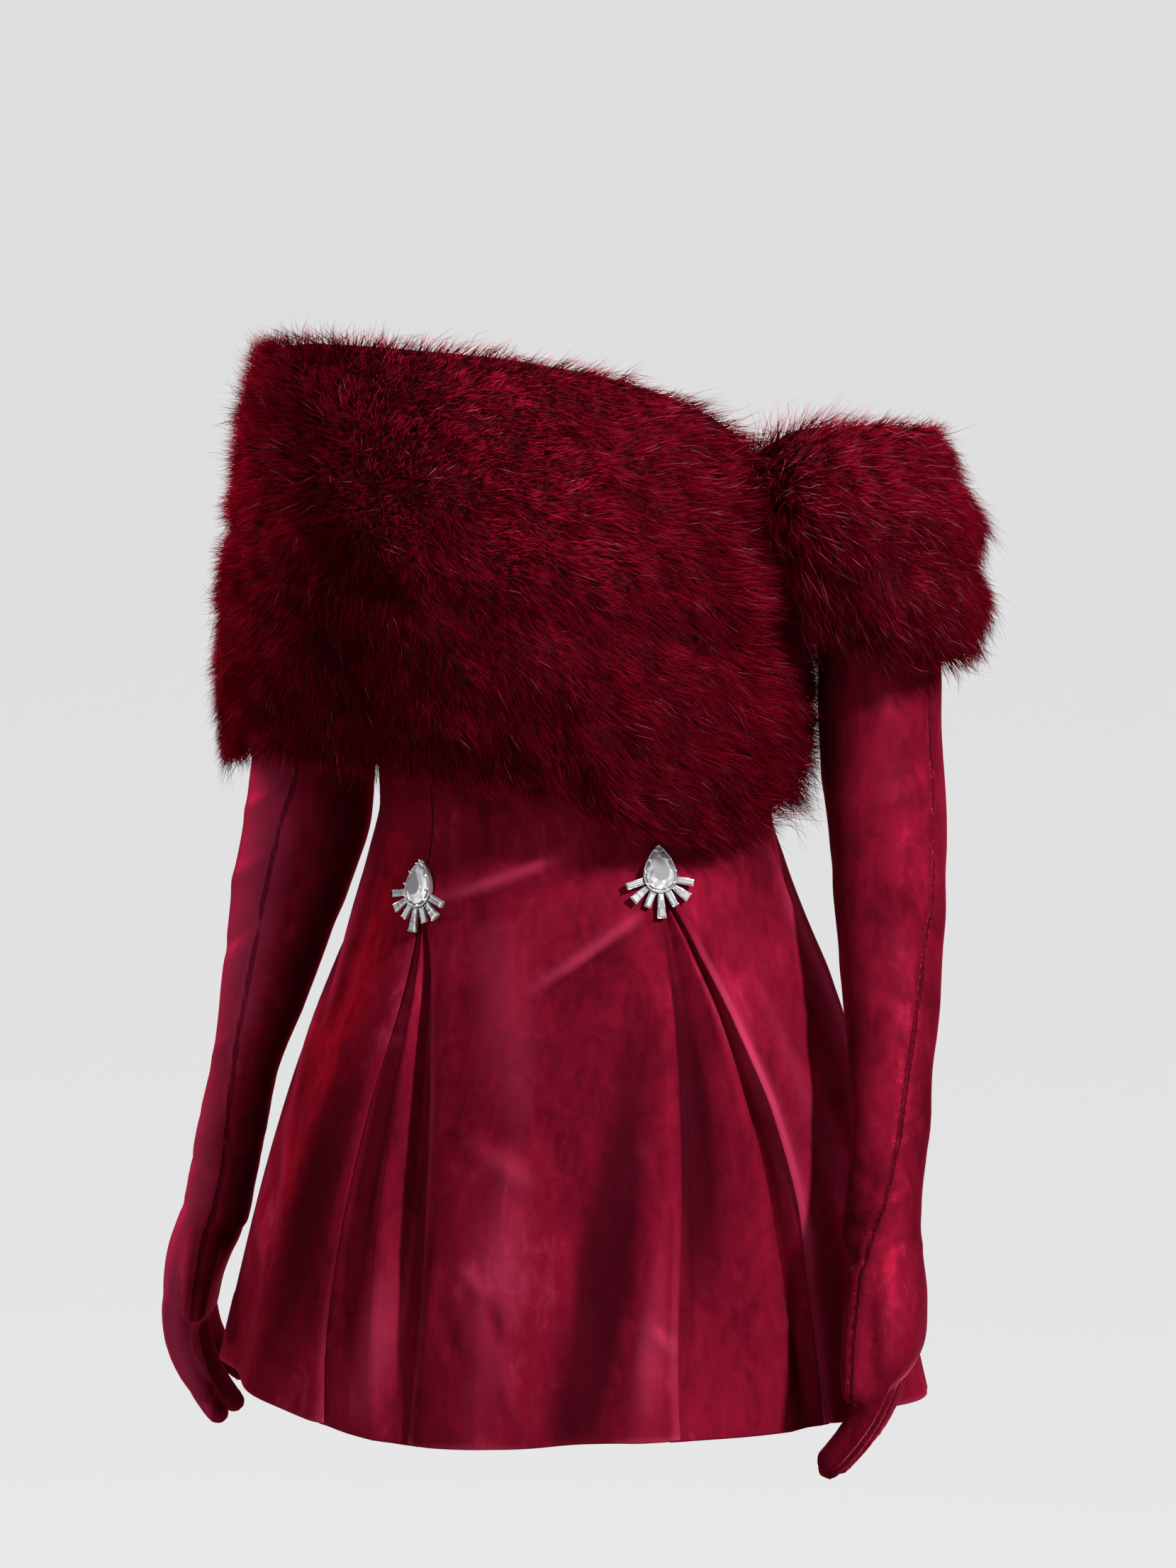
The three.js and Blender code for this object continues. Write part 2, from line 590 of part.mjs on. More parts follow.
const wrapNames = ['low', 'high', 'reachLow', 'reachMid', 'reachHigh', 'fur'];
const wrap = Object.fromEntries(wrapNames.map((name) => [name, curveRound(wrapRows, name)]));

function wrapSurface(angle, v, swell) {
  const z = mix(wrap.low(angle) - swell, wrap.high(angle) + swell, v);
  const t = angle * degree;
  const lowShare = 2 * (v - 0.5) * (v - 1);
  const highShare = 2 * v * (v - 0.5);
  const reach = wrap.reachLow(angle) * lowShare + wrap.reachHigh(angle) * highShare
    + wrap.reachMid(angle) * (1 - lowShare - highShare) + swell;
  return new THREE.Vector3(wrapCentre + reach * Math.sin(t), -reach * Math.cos(t), z);
}

// The soft valley that runs down across the front of the wrap lies in its outer skin alone.
function wrapInsets(from, to, swell) {
  return (u, v) => {
    const angle = mix(from, to, u);
    const [outer, inner] = furInsets(wrap.fur(angle) + 2 * swell, v);
    const z = mix(wrap.low(angle), wrap.high(angle), v);
    const line = wrapValley.start - wrapValley.fall * (angle - wrapSeams.right);
    const dip = wrapValley.depth * Math.exp(-(((z - line) / wrapValley.width) ** 2));
    const inFront = THREE.MathUtils.smoothstep(wrapSeams.left - angle, 0, 30);
    return [outer + (angle < wrapSeams.left ? dip * inFront : 0), inner];
  };
}

function wrapPart(across, up, from, to, swell) {
  const surfaceAt = (u, v) => wrapSurface(mix(from, to, u), v, swell);
  return wall(across, up, false, surfaceAt, wrapInsets(from, to, swell));
}

const wrapInset = 0.07;
const wrapFront = (swell) => (
  wrapPart(28, 10, wrapSeams.right + wrapInset, wrapSeams.left - wrapInset, swell)
);
const wrapBack = (swell) => (
  wrapPart(20, 8, wrapSeams.left + wrapInset, wrapSeams.right + 360 - wrapInset, swell)
);
add('fur_wrap_front', wrapFront(0), fur);
add('fur_wrap_back', wrapBack(0), fur);

// The shoulder piece is a thick strip round the arm, cut clear of the wrap at both ends.
const strip = curves(shoulderRows, 'place',
  ['lowX', 'lowY', 'low', 'midX', 'midY', 'highX', 'highY', 'high']);

function shoulderSurface(u, v) {
  const place = u * (shoulderRows.length - 1);
  const lowShare = 2 * (v - 0.5) * (v - 1);
  const highShare = 2 * v * (v - 0.5);
  const midShare = 1 - lowShare - highShare;
  const x = strip.lowX(place) * lowShare + strip.midX(place) * midShare + strip.highX(place) * highShare;
  const y = strip.lowY(place) * lowShare + strip.midY(place) * midShare + strip.highY(place) * highShare;
  return new THREE.Vector3(x, y, mix(strip.low(place), strip.high(place), v));
}

function shoulderInsets(u, v) {
  const [outer, inner] = furInsets(shoulderFur, v);
  const swing = Math.sin(Math.PI * u) * Math.sin(Math.PI * v);
  const fold = shoulderFold.height * swing * Math.cos(2 * Math.PI * shoulderFold.count * v);
  return [outer + fold, inner];
}

const wholeStrip = solidOf(wall(20, 10, false, shoulderSurface, shoulderInsets));
const wrapClearance = 0.45;
const frontCut = solidOf(wrapFront(wrapClearance));
const backCut = solidOf(wrapBack(wrapClearance));
add('fur_shoulder_left', geometryOf(wholeStrip.subtract(frontCut).subtract(backCut)), fur);

// A pear outline with its point up, scaled about the stone's middle.
function pearAt(turn, scale) {
  const round = Math.sin(turn / 2) ** 0.8;
  const widest = 0.84;
  const x = (brooch.halfWidth / widest) * Math.sin(turn) * round * scale;
  return [x, brooch.halfHeight * Math.cos(turn) * scale];
}

function pearRing(scale, height) {
  const count = 16;
  return Array.from({ length: count }, (unused, i) => {
    const [x, y] = pearAt((i / count) * Math.PI * 2, scale);
    return new THREE.Vector3(x, y, height);
  });
}

function settingGeometry() {
  const cup = solidOf(stack([pearRing(0.9, 0), pearRing(1, brooch.collar)]));
  const recess = solidOf(stack([pearRing(0.86, brooch.floor), pearRing(0.88, brooch.collar + 1)]));
  return geometryOf(cup.subtract(recess));
}

function crystalGeometry() {
  const base = brooch.floor + seamGap;
  return stack([
    pearRing(0.45, base),
    pearRing(0.84, brooch.collar - 0.4),
    pearRing(0.84, brooch.collar + 0.5),
    pearRing(0.66, brooch.crystalTop - 1.6),
    pearRing(0.42, brooch.crystalTop),
  ]);
}

// Where an arm starts, so that its inner end just clears the stone's setting.
function armStart(row) {
  const turn = row.turn * degree;
  let start = 0;
  for (let k = 0; k < 360; k += 1) {
    const [x, y] = pearAt(k * degree, 1);
    const across = x * Math.cos(turn) + (y - brooch.fanCentre) * Math.sin(turn);
    const along = x * Math.sin(turn) - (y - brooch.fanCentre) * Math.cos(turn);
    if (Math.abs(across) <= row.inside / 2) start = Math.max(start, along);
  }
  return start + brooch.armGap;
}

function armGeometry(row) {
  const outline = new THREE.Shape();
  const start = armStart(row);
  outline.moveTo(-row.inside / 2, -start);
  outline.lineTo(-row.outside / 2, -row.end);
  outline.lineTo(row.outside / 2, -row.end);
  outline.lineTo(row.inside / 2, -start);
  outline.closePath();
  const bevel = { bevelEnabled: true, bevelThickness: 0.5, bevelSize: -0.4, bevelOffset: 0, bevelSegments: 1 };
  const geometry = new THREE.ExtrudeGeometry(outline, { depth: brooch.armDepth - 1, steps: 1, ...bevel });
  geometry.translate(0, 0, 0.5 + seamGap);
  return geometry;
}

// How far the cloth behind a brooch stands out past the tangent plane at the brooch's middle.
function broochSeat(angle, here, outward) {
  const turns = [-7, 0, 7];
  const rises = [-16, -10, 0, 10];
  let highest = 0;
  for (const turn of turns) {
    for (const rise of rises) {
      const point = onForm(angle + turn, here.z + rise, 0).sub(here);
      highest = Math.max(highest, point.dot(outward));
    }
  }
  return highest;
}

function broochGroup(side, sign) {
  const z = broochHeight[side];
  const angle = sign * brooch.angle;
  const here = onForm(angle, z, 0);
  const rise = onForm(angle, z + 8, 0).sub(onForm(angle, z - 8, 0)).normalize();
  const along = onForm(angle + 2, z, 0).sub(onForm(angle - 2, z, 0)).normalize();
  const outward = new THREE.Vector3().crossVectors(along, rise).normalize();
  const upward = new THREE.Vector3().crossVectors(outward, along).normalize();
  const group = new THREE.Group();
  const seat = broochSeat(angle, here, outward) + brooch.seatGap;
  group.position.copy(here).addScaledVector(outward, seat);
  group.setRotationFromMatrix(new THREE.Matrix4().makeBasis(along, upward, outward));
  add(`brooch_${side}_setting`, settingGeometry(), silver, group);
  add(`brooch_${side}_crystal`, crystalGeometry(), stone, group);
  for (const row of armRows) {
    const arm = add(`brooch_${side}_${row.name}`, armGeometry(row), silver, group);
    arm.position.y = brooch.fanCentre;
    arm.rotation.z = row.turn * degree;
  }
  dress.add(group);
}

broochGroup('left', 1);
broochGroup('right', -1);

export default dress;
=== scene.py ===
import math
import bmesh
import bpy
import numpy as np
from mathutils import Matrix, Vector


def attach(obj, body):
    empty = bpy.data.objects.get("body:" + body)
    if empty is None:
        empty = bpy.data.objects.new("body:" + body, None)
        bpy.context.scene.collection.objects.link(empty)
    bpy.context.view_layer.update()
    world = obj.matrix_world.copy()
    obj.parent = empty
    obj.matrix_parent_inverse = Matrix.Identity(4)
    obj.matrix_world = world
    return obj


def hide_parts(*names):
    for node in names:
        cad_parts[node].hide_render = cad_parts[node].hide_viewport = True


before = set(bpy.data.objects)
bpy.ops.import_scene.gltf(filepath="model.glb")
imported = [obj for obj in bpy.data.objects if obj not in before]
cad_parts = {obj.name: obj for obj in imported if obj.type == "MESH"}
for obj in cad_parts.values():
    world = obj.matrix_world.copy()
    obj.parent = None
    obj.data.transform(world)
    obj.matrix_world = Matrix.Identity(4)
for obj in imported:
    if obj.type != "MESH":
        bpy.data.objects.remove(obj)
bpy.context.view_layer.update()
print("frame loaded")

# Tables and points are in millimetres with the waist line at height 0; the part's own origin
# is at the bust line, so every finished mesh is lowered by that much and turned to metres.
bustHeight = 150.0
seedValue = 41


def millimetres(points):
    return (np.asarray(points, float) - [0, 0, bustHeight]) * 0.001


def deselectAll():
    if bpy.context.object and bpy.context.object.mode != "OBJECT":
        bpy.ops.object.mode_set(mode="OBJECT")
    bpy.ops.object.select_all(action="DESELECT")


def activate(piece):
    deselectAll()
    piece.select_set(True)
    bpy.context.view_layer.objects.active = piece


def joined(parts, name):
    deselectAll()
    for part in parts:
        part.select_set(True)
    bpy.context.view_layer.objects.active = parts[0]
    bpy.ops.object.join()
    piece = bpy.context.object
    piece.name = name
    return piece


def applyModifier(piece, kind, **settings):
    activate(piece)
    modifier = piece.modifiers.new(kind.lower(), kind)
    for key, value in settings.items():
        setattr(modifier, key, value)
    bpy.ops.object.modifier_apply(modifier=modifier.name)


def editAll(piece):
    activate(piece)
    bpy.ops.object.mode_set(mode="EDIT")
    bpy.ops.mesh.select_all(action="SELECT")


def editFaces(piece, chosen):
    # opens a piece for editing with only some of its faces selected
    activate(piece)
    bpy.ops.object.mode_set(mode="EDIT")
    bpy.ops.mesh.select_mode(type="FACE")
    bpy.ops.mesh.select_all(action="DESELECT")
    shape = bmesh.from_edit_mesh(piece.data)
    for face in shape.faces:
        face.select = chosen(face)
    shape.select_flush_mode()
    bmesh.update_edit_mesh(piece.data)


def closeEdit():
    bpy.ops.object.mode_set(mode="OBJECT")


def direction(turn, lift):
    # the way that points so many degrees round from the front and so many degrees up
    turn, lift = math.radians(turn), math.radians(lift)
    return Vector((math.sin(turn) * math.cos(lift), -math.cos(turn) * math.cos(lift), math.sin(lift)))


def curveOf(rows, column):
    # a smooth line through one column of a table, with no overshoot between its rows
    table = np.array(sorted(rows, key=lambda row: row[0]), float)
    xs, ys = table[:, 0], table[:, column]
    rise = np.diff(ys) / np.diff(xs)
    slopes = np.empty(len(xs))
    slopes[0], slopes[-1] = rise[0], rise[-1]
    same = rise[:-1] * rise[1:] > 0
    total = np.where(same, rise[:-1] + rise[1:], 1)
    slopes[1:-1] = np.where(same, 2 * rise[:-1] * rise[1:] / total, 0)

    def at(value):
        value = np.clip(value, xs[0], xs[-1])
        i = np.clip(np.searchsorted(xs, value) - 1, 0, len(xs) - 2)
        span = xs[i + 1] - xs[i]
        t = (value - xs[i]) / span
        start = (2 * t**3 - 3 * t**2 + 1) * ys[i] + (t**3 - 2 * t**2 + t) * span * slopes[i]
        return start + (3 * t**2 - 2 * t**3) * ys[i + 1] + (t**3 - t**2) * span * slopes[i + 1]

    return at


def curvesOf(rows):
    return [curveOf(rows, column) for column in range(1, len(rows[0]))]


def smoothStep(value):
    t = np.clip(value, 0, 1)
    return t * t * (3 - 2 * t)


def bell(across, up=0.0):
    # 1 in the middle and softly down to nothing at about two half widths
    return np.exp(-(across**2) - up**2)


def turnFrom(angle, at):
    # the turn between two angles, from -180 to 180 degrees
    return (angle - at + 180) % 360 - 180


def waves(points, size, seed, count=7):
    # gentle seeded unevenness, about -1 to 1, over points in millimetres
    random = np.random.default_rng(seed)
    total = np.zeros(points.shape[:-1])
    for k in range(count):
        way = random.normal(size=3)
        way *= 2 * math.pi / (size * random.uniform(0.7, 1.5) * np.linalg.norm(way))
        total += np.sin(points @ way + random.uniform(0, 2 * math.pi))
    return total / math.sqrt(count)


def unit(vectors):
    return vectors / np.maximum(np.linalg.norm(vectors, axis=-1, keepdims=True), 1e-9)


def gridFaces(ids):
    return np.stack([ids[:-1, :-1], ids[:-1, 1:], ids[1:, 1:], ids[1:, :-1]], -1).reshape(-1, 4)


def turnedOver(faces):
    return faces[:, [0, 3, 2, 1]]


def setMark(mesh, key, values, domain="POINT"):
    # numbers on points or faces, which the materials read
    layer = mesh.attributes.get(key) or mesh.attributes.new(key, "FLOAT", domain)
    layer.data.foreach_set("value", np.asarray(values, np.float32))


def meshObject(name, points, faces, marks=None, flat=None):
    # faces are one array with the same number of corners each
    mesh = bpy.data.meshes.new(name)
    faces = np.asarray(faces, np.int32)
    mesh.vertices.add(len(points))
    mesh.vertices.foreach_set("co", millimetres(points).astype(np.float32).ravel())
    mesh.loops.add(faces.size)
    mesh.loops.foreach_set("vertex_index", faces.ravel())
    mesh.polygons.add(len(faces))
    mesh.polygons.foreach_set("loop_start", np.arange(0, faces.size, faces.shape[1], dtype=np.int32))
    mesh.update(calc_edges=True)
    mesh.shade_smooth()
    if flat is not None:
        layer = mesh.uv_layers.new(name="cloth")
        layer.data.foreach_set("uv", flat[faces.ravel()].astype(np.float32).ravel())
    for key, values in (marks or {}).items():
        setMark(mesh, key, values)
    piece = bpy.data.objects.new(name, mesh)
    bpy.context.collection.objects.link(piece)
    return piece


def readVectors(rows, key):
    values = np.empty(len(rows) * 3, np.float32)
    rows.foreach_get(key, values)
    return values.reshape(-1, 3).astype(float)


def pointsOf(piece):
    return readVectors(piece.data.vertices, "co") * 1000 + [0, 0, bustHeight]


def setPoints(piece, points):
    piece.data.vertices.foreach_set("co", millimetres(points).astype(np.float32).ravel())
    piece.data.update()


def finishPiece(piece, material, nodes=()):
    piece.data.materials.clear()
    piece.data.materials.append(material)
    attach(piece, "root")
    if nodes:
        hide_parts(*nodes)
    return piece


def declareCloth(piece, cut):
    # a cut is its width, length and area; the cloth's own area is half of the closed sheet's
    own = sum(face.area for face in piece.data.polygons) / 2
    print(f"{piece.name}: {own:.4f} square metres, cut from {cut[2]:.4f}")


view = {
    "azimuth": 15.0, "elevation": 13.0, "distance": 4.2, "target": (0.00639, 0.00455, -0.13813),
    "focal": 10000.0, "frame": (1659, 2212), "sensor": 36, "reach": 60,
}


def makeCamera():
    back = direction(view["azimuth"], view["elevation"])
    wide, high = view["frame"]
    data = bpy.data.cameras.new("camera")
    data.sensor_fit = "VERTICAL"
    data.sensor_height = view["sensor"]
    data.sensor_width = view["sensor"] * wide / high
    data.lens = view["sensor"] * view["focal"] / high
    data.clip_end = view["reach"]
    camera = bpy.data.objects.new("camera", data)
    camera.location = Vector(view["target"]) + back * view["distance"]
    camera.rotation_euler = back.to_track_quat("Z", "Y").to_euler()
    bpy.context.collection.objects.link(camera)
    bpy.context.scene.camera = camera


lights = {
    # turn from the front, lift, distance, size, power, colour
    "key": (60, 38, 3.2, 0.24, 190, (1.0, 0.985, 0.97)),
    "front": (-16, 28, 3.6, 1.2, 25, (1.0, 1.0, 1.0)),
    "left": (-112, 10, 3.0, 0.8, 58, (1.0, 1.0, 1.0)),
    "back": (160, 40, 3.4, 1.4, 40, (1.0, 1.0, 1.0)),
}
studio = {"aim": (0, 0, -0.16), "floor": -3.0, "size": 160.0, "grey": 0.86, "glow": 0.555, "world": 0.20}


def makeStudio():
    for name, (turn, lift, distance, size, power, colour) in lights.items():
        way = direction(turn, lift)
        data = bpy.data.lights.new(name, "AREA")
        data.shape = "DISK"
        data.size = size
        data.energy = power
        data.color = colour
        lamp = bpy.data.objects.new(name, data)
        lamp.location = Vector(studio["aim"]) + way * distance
        lamp.rotation_euler = way.to_track_quat("Z", "Y").to_euler()
        bpy.context.collection.objects.link(lamp)
    deselectAll()
    bpy.ops.mesh.primitive_plane_add(size=studio["size"], location=(0, 0, studio["floor"]))
    floor = bpy.context.object
    floor.name = "studio_floor"
    material = bpy.data.materials.new("pale_floor")
    material.use_nodes = True
    shader = material.node_tree.nodes["Principled BSDF"]
    shader.inputs["Base Color"].default_value = (studio["grey"],) * 3 + (1,)
    shader.inputs["Roughness"].default_value = 0.9
    # the even light of a studio backdrop, kept off the cloth so that its folds stay dark
    shader.inputs["Emission Color"].default_value = (1, 1, 1.01, 1)
    shader.inputs["Emission Strength"].default_value = studio["glow"]
    floor.visible_diffuse = False
    floor.data.materials.append(material)
    world = bpy.data.worlds.new("studio")
    bpy.context.scene.world = world
    world.use_nodes = True
    background = world.node_tree.nodes["Background"]
    background.inputs["Color"].default_value = (1, 1, 1, 1)
    background.inputs["Strength"].default_value = studio["world"]
    bpy.context.scene.view_settings.view_transform = "Standard"


makeCamera()
makeStudio()
print("camera and studio ready")


class Value:
    # wraps a socket, so that shader maths reads as ordinary sums
    def __init__(self, graph, socket):
        self.graph = graph
        self.socket = socket

    def sum(self, operation, *sockets):
        return self.graph.node("ShaderNodeMath", {"operation": operation}, dict(enumerate(sockets)))

    def __add__(self, other):
        return self.sum("ADD", self, other)

    def __sub__(self, other):
        return self.sum("SUBTRACT", self, other)

    def __rsub__(self, other):
        return self.sum("SUBTRACT", other, self)

    def __mul__(self, other):
        return self.sum("MULTIPLY", self, other)

    __radd__ = __add__
    __rmul__ = __mul__

    def size(self):
        return self.sum("ABSOLUTE", self)

    def ramp(self, low, high, start=0.0, end=1.0):
        return self.graph.node("ShaderNodeMapRange", {"interpolation_type": "SMOOTHSTEP"}, {
            "Value": self, "From Min": low, "From Max": high, "To Min": start, "To Max": end})


class Graph:
    def __init__(self, name):
        self.material = bpy.data.materials.new(name)
        self.material.use_nodes = True
        self.tree = self.material.node_tree
        self.shader = self.tree.nodes["Principled BSDF"]

    def node(self, kind, settings, sockets, output=0):
        made = self.tree.nodes.new(kind)
        for key, value in settings.items():
            setattr(made, key, value)
        self.fill(made, sockets)
        return Value(self, made.outputs[output])

    def fill(self, made, sockets):
        for key, value in sockets.items():
            if isinstance(value, Value):
                self.tree.links.new(value.socket, made.inputs[key])
            elif value is not None:
                made.inputs[key].default_value = value

    def finish(self, **sockets):
        self.fill(self.shader, {key.replace("_", " "): value for key, value in sockets.items()})
        return self.material

    def coordinates(self, kind="Object"):
        return self.node("ShaderNodeTexCoord", {}, {}, kind)

    def mark(self, name):
        return self.node("ShaderNodeAttribute", {"attribute_name": name}, {}, "Fac")

    def noise(self, place, scale, detail=3.0, rough=0.55, twist=0.0):
        return self.node("ShaderNodeTexNoise", {}, {
            "Vector": place, "Scale": scale, "Detail": detail, "Roughness": rough, "Distortion": twist})

    def pattern(self, place, stretch, turn, *noise):
        # noise that is drawn out along one way
        drawn = self.node("ShaderNodeMapping", {}, {"Vector": place, "Scale": stretch, "Rotation": turn})
        return self.noise(drawn, *noise)

    def blend(self, share, first, second):
        return self.node("ShaderNodeMix", {"data_type": "RGBA"}, {0: share, 6: first, 7: second}, 2)

    def bump(self, height, strength, distance, under=None):
        return self.node("ShaderNodeBump", {}, {
            "Height": height, "Strength": strength, "Distance": distance, "Normal": under})


velvetLook = {
    "deep": (0.060, 0.0010, 0.0050, 1), "middle": (0.165, 0.0034, 0.0155, 1),
    "light": (0.480, 0.038, 0.098, 1), "shadow": (0.018, 0.0004, 0.0018, 1),
    "seamDark": (0.016, 0.0004, 0.0024, 1), "seamHalf": 0.55,
    "sheen": 0.38, "sheenRough": 0.26, "sheenTint": (1.0, 0.11, 0.24, 1),
    "rough": (0.42, 0.60), "gloss": 0.24,
    # how strongly standing pile, painted highlight, painted shade, the grain and the seams change the colour
    "standing": 0.5, "paintedHighlight": 0.60, "paintedShade": 0.85, "grain": 0.5, "seamShare": 0.6,
    # stretch, turn, scale, detail, roughness and twist of each pattern
    "patches": ((1, 1, 0.55), (0, 0, 0), 16, 3, 0.55, 0.6),
    "rubbedMarksAndRidgeLight": ((1.2, 1.2, 0.7), (0.3, 0.2, 0.5), 58, 4, 0.62, 1.1),
    "streaks": ((5, 5, 0.9), (0.05, 0.08, 0), 34, 3, 0.6, 0.3),
    "fibre": ((1, 1, 0.3), (0, 0, 0), 1700, 2, 0.6),
    # strength and depth in metres of each relief
    "soft": (0.5, 0.0035), "gathered": (0.6, 0.0016), "sunk": (0.9, 0.0011), "piled": (0.35, 0.00035),
}


def makeVelvet():
    graph = Graph("velvet_pile")
    look = velvetLook
    place = graph.coordinates()
    # pile that was brushed one way or the other: large soft patches, then smaller rubbed marks
    patches, rubbedMarksAndRidgeLight, streaks = (graph.pattern(place, *look[key]) for key in ("patches", "rubbedMarksAndRidgeLight", "streaks"))
    brushed = patches * 0.48 + rubbedMarksAndRidgeLight * 0.34 + streaks * 0.18
    lay = brushed.ramp(0.33, 0.60)
    dark = graph.blend(lay, look["deep"], look["middle"])
    colour = graph.blend(brushed.ramp(0.55, 0.76) * look["standing"], dark, look["light"])
    # where the mark asks for it, painted shade darkens the pile and painted highlight brightens it
    paintedLightAndShade = graph.mark("paintedLightAndShade")
    colour = graph.blend(paintedLightAndShade.ramp(0.0, -1.0, 0.0, look["paintedShade"]), colour, look["shadow"])
    colour = graph.blend(paintedLightAndShade.ramp(0.0, 1.0, 0.0, look["paintedHighlight"]), colour, look["light"])
    # each seam is a sunk line with small puckers beside it
    seam = graph.mark("seam")
    line = 1 - seam.ramp(look["seamHalf"] * 0.4, look["seamHalf"] * 1.6)
    colour = graph.blend(line * look["seamShare"], colour, look["seamDark"])
    grain = graph.noise(place, 2600, 2, 0.7)
    fibre = graph.pattern(place, *look["fibre"])
    colour = graph.blend((grain - 0.5).size() * look["grain"], colour, look["light"])
    pucker = graph.noise(place, 150, 2, 0.5) * (1 - seam.ramp(1.5, 9))
    soft = graph.bump(patches * 0.9 + rubbedMarksAndRidgeLight * 0.14, *look["soft"])
    gathered = graph.bump(pucker, *look["gathered"], soft)
    sunk = graph.bump(1 - line, *look["sunk"], gathered)
    piled = graph.bump(grain * 0.6 + fibre * 0.4, *look["piled"], sunk)
    laid, stood = look["rough"]
    return graph.finish(Base_Color=colour, Roughness=stood - lay * (stood - laid), Normal=piled,
                        Sheen_Weight=look["sheen"], Sheen_Roughness=look["sheenRough"],
                        Sheen_Tint=look["sheenTint"], IOR=1.0, Specular_Tint=look["sheenTint"],
                        Metallic=look["gloss"])


furLook = {
    "root": (0.045, 0.0004, 0.0024, 1), "shaded": (0.075, 0.0006, 0.0040, 1),
    "middle": (0.230, 0.0024, 0.0140, 1), "tip": (0.460, 0.0180, 0.0560, 1),
    "glint": (0.62, 0.17, 0.25, 1), "shine": (1, 0.3, 0.4, 1),
    "ground": (0.040, 0.0005, 0.0034, 1),
}


def makeFur():
    # each strand is dark at its root and lighter at its tip; tufts differ in shade, at random and by painted
    # shade and light, and the palest strands are painted glints
    graph = Graph("long_fur")
    look = furLook
    along = graph.mark("along")
    shade = graph.mark("shade")
    coat = graph.blend(shade.ramp(0.0, 0.8), look["shaded"], look["middle"])
    body = graph.blend(along.ramp(0.1, 0.75), look["root"], coat)
    tipped = graph.blend(along.ramp(0.55, 1.0) * shade.ramp(0.3, 0.95), body, look["tip"])
    # the palest strands take the colour of a painted glint
    colour = graph.blend(shade.ramp(0.96, 0.98) * along.ramp(0.5, 0.8), tipped, look["glint"])
    return graph.finish(Base_Color=colour, Roughness=0.45, IOR=1.0, Specular_Tint=look["shine"], Metallic=0.3)


def makeFurSkin():
    graph = Graph("fur_ground")
    tufts = graph.noise(graph.coordinates(), 260, 4, 0.7, 0.5)
    colour = graph.blend(tufts.ramp(0.35, 0.7), furLook["root"], furLook["ground"])
    return graph.finish(Base_Color=colour, Roughness=0.95, Normal=graph.bump(tufts, 0.8, 0.004),
                        Specular_IOR_Level=0.1)


def makeTape():
    graph = Graph("woven_tape")
    cloth = graph.coordinates("UV")
    weave = graph.node("ShaderNodeTexWave", {"bands_direction": "DIAGONAL"},
                       {"Vector": cloth, "Scale": 900.0, "Distortion": 0.6, "Detail": 1.0}, "Fac")
    colour = graph.blend(weave, (0.070, 0.003, 0.012, 1), (0.130, 0.006, 0.022, 1))
    return graph.finish(Base_Color=colour, Roughness=0.8, Normal=graph.bump(weave, 0.5, 0.0004),
                        Specular_IOR_Level=0.08)


def makeSilver():
    graph = Graph("polished_silver")
    worn = graph.noise(graph.coordinates(), 420, 3, 0.6)
    colour = graph.blend(worn.ramp(0.3, 0.7), (0.78, 0.79, 0.81, 1), (0.95, 0.95, 0.95, 1))
    return graph.finish(Base_Color=colour, Metallic=0.88, Roughness=worn.ramp(0.3, 0.8, 0.10, 0.26),
                        Normal=graph.bump(worn, 0.2, 0.0002))


def makeCrystal():
    # every facet has its own grey, a painted reflection
    graph = Graph("foiled_crystal_painted_reflections")
    colour = graph.blend(graph.mark("paintedFacetReflection"), (0.30, 0.31, 0.33, 1), (0.99, 0.99, 1.0, 1))
    return graph.finish(Base_Color=colour, Metallic=0.50, Roughness=0.045, Coat_Weight=1.0,
                        Coat_Roughness=0.02)


velvet = makeVelvet()
fur = makeFur()
furGround = makeFurSkin()
tape = makeTape()
silver = makeSilver()
crystal = makeCrystal()
print("materials ready")

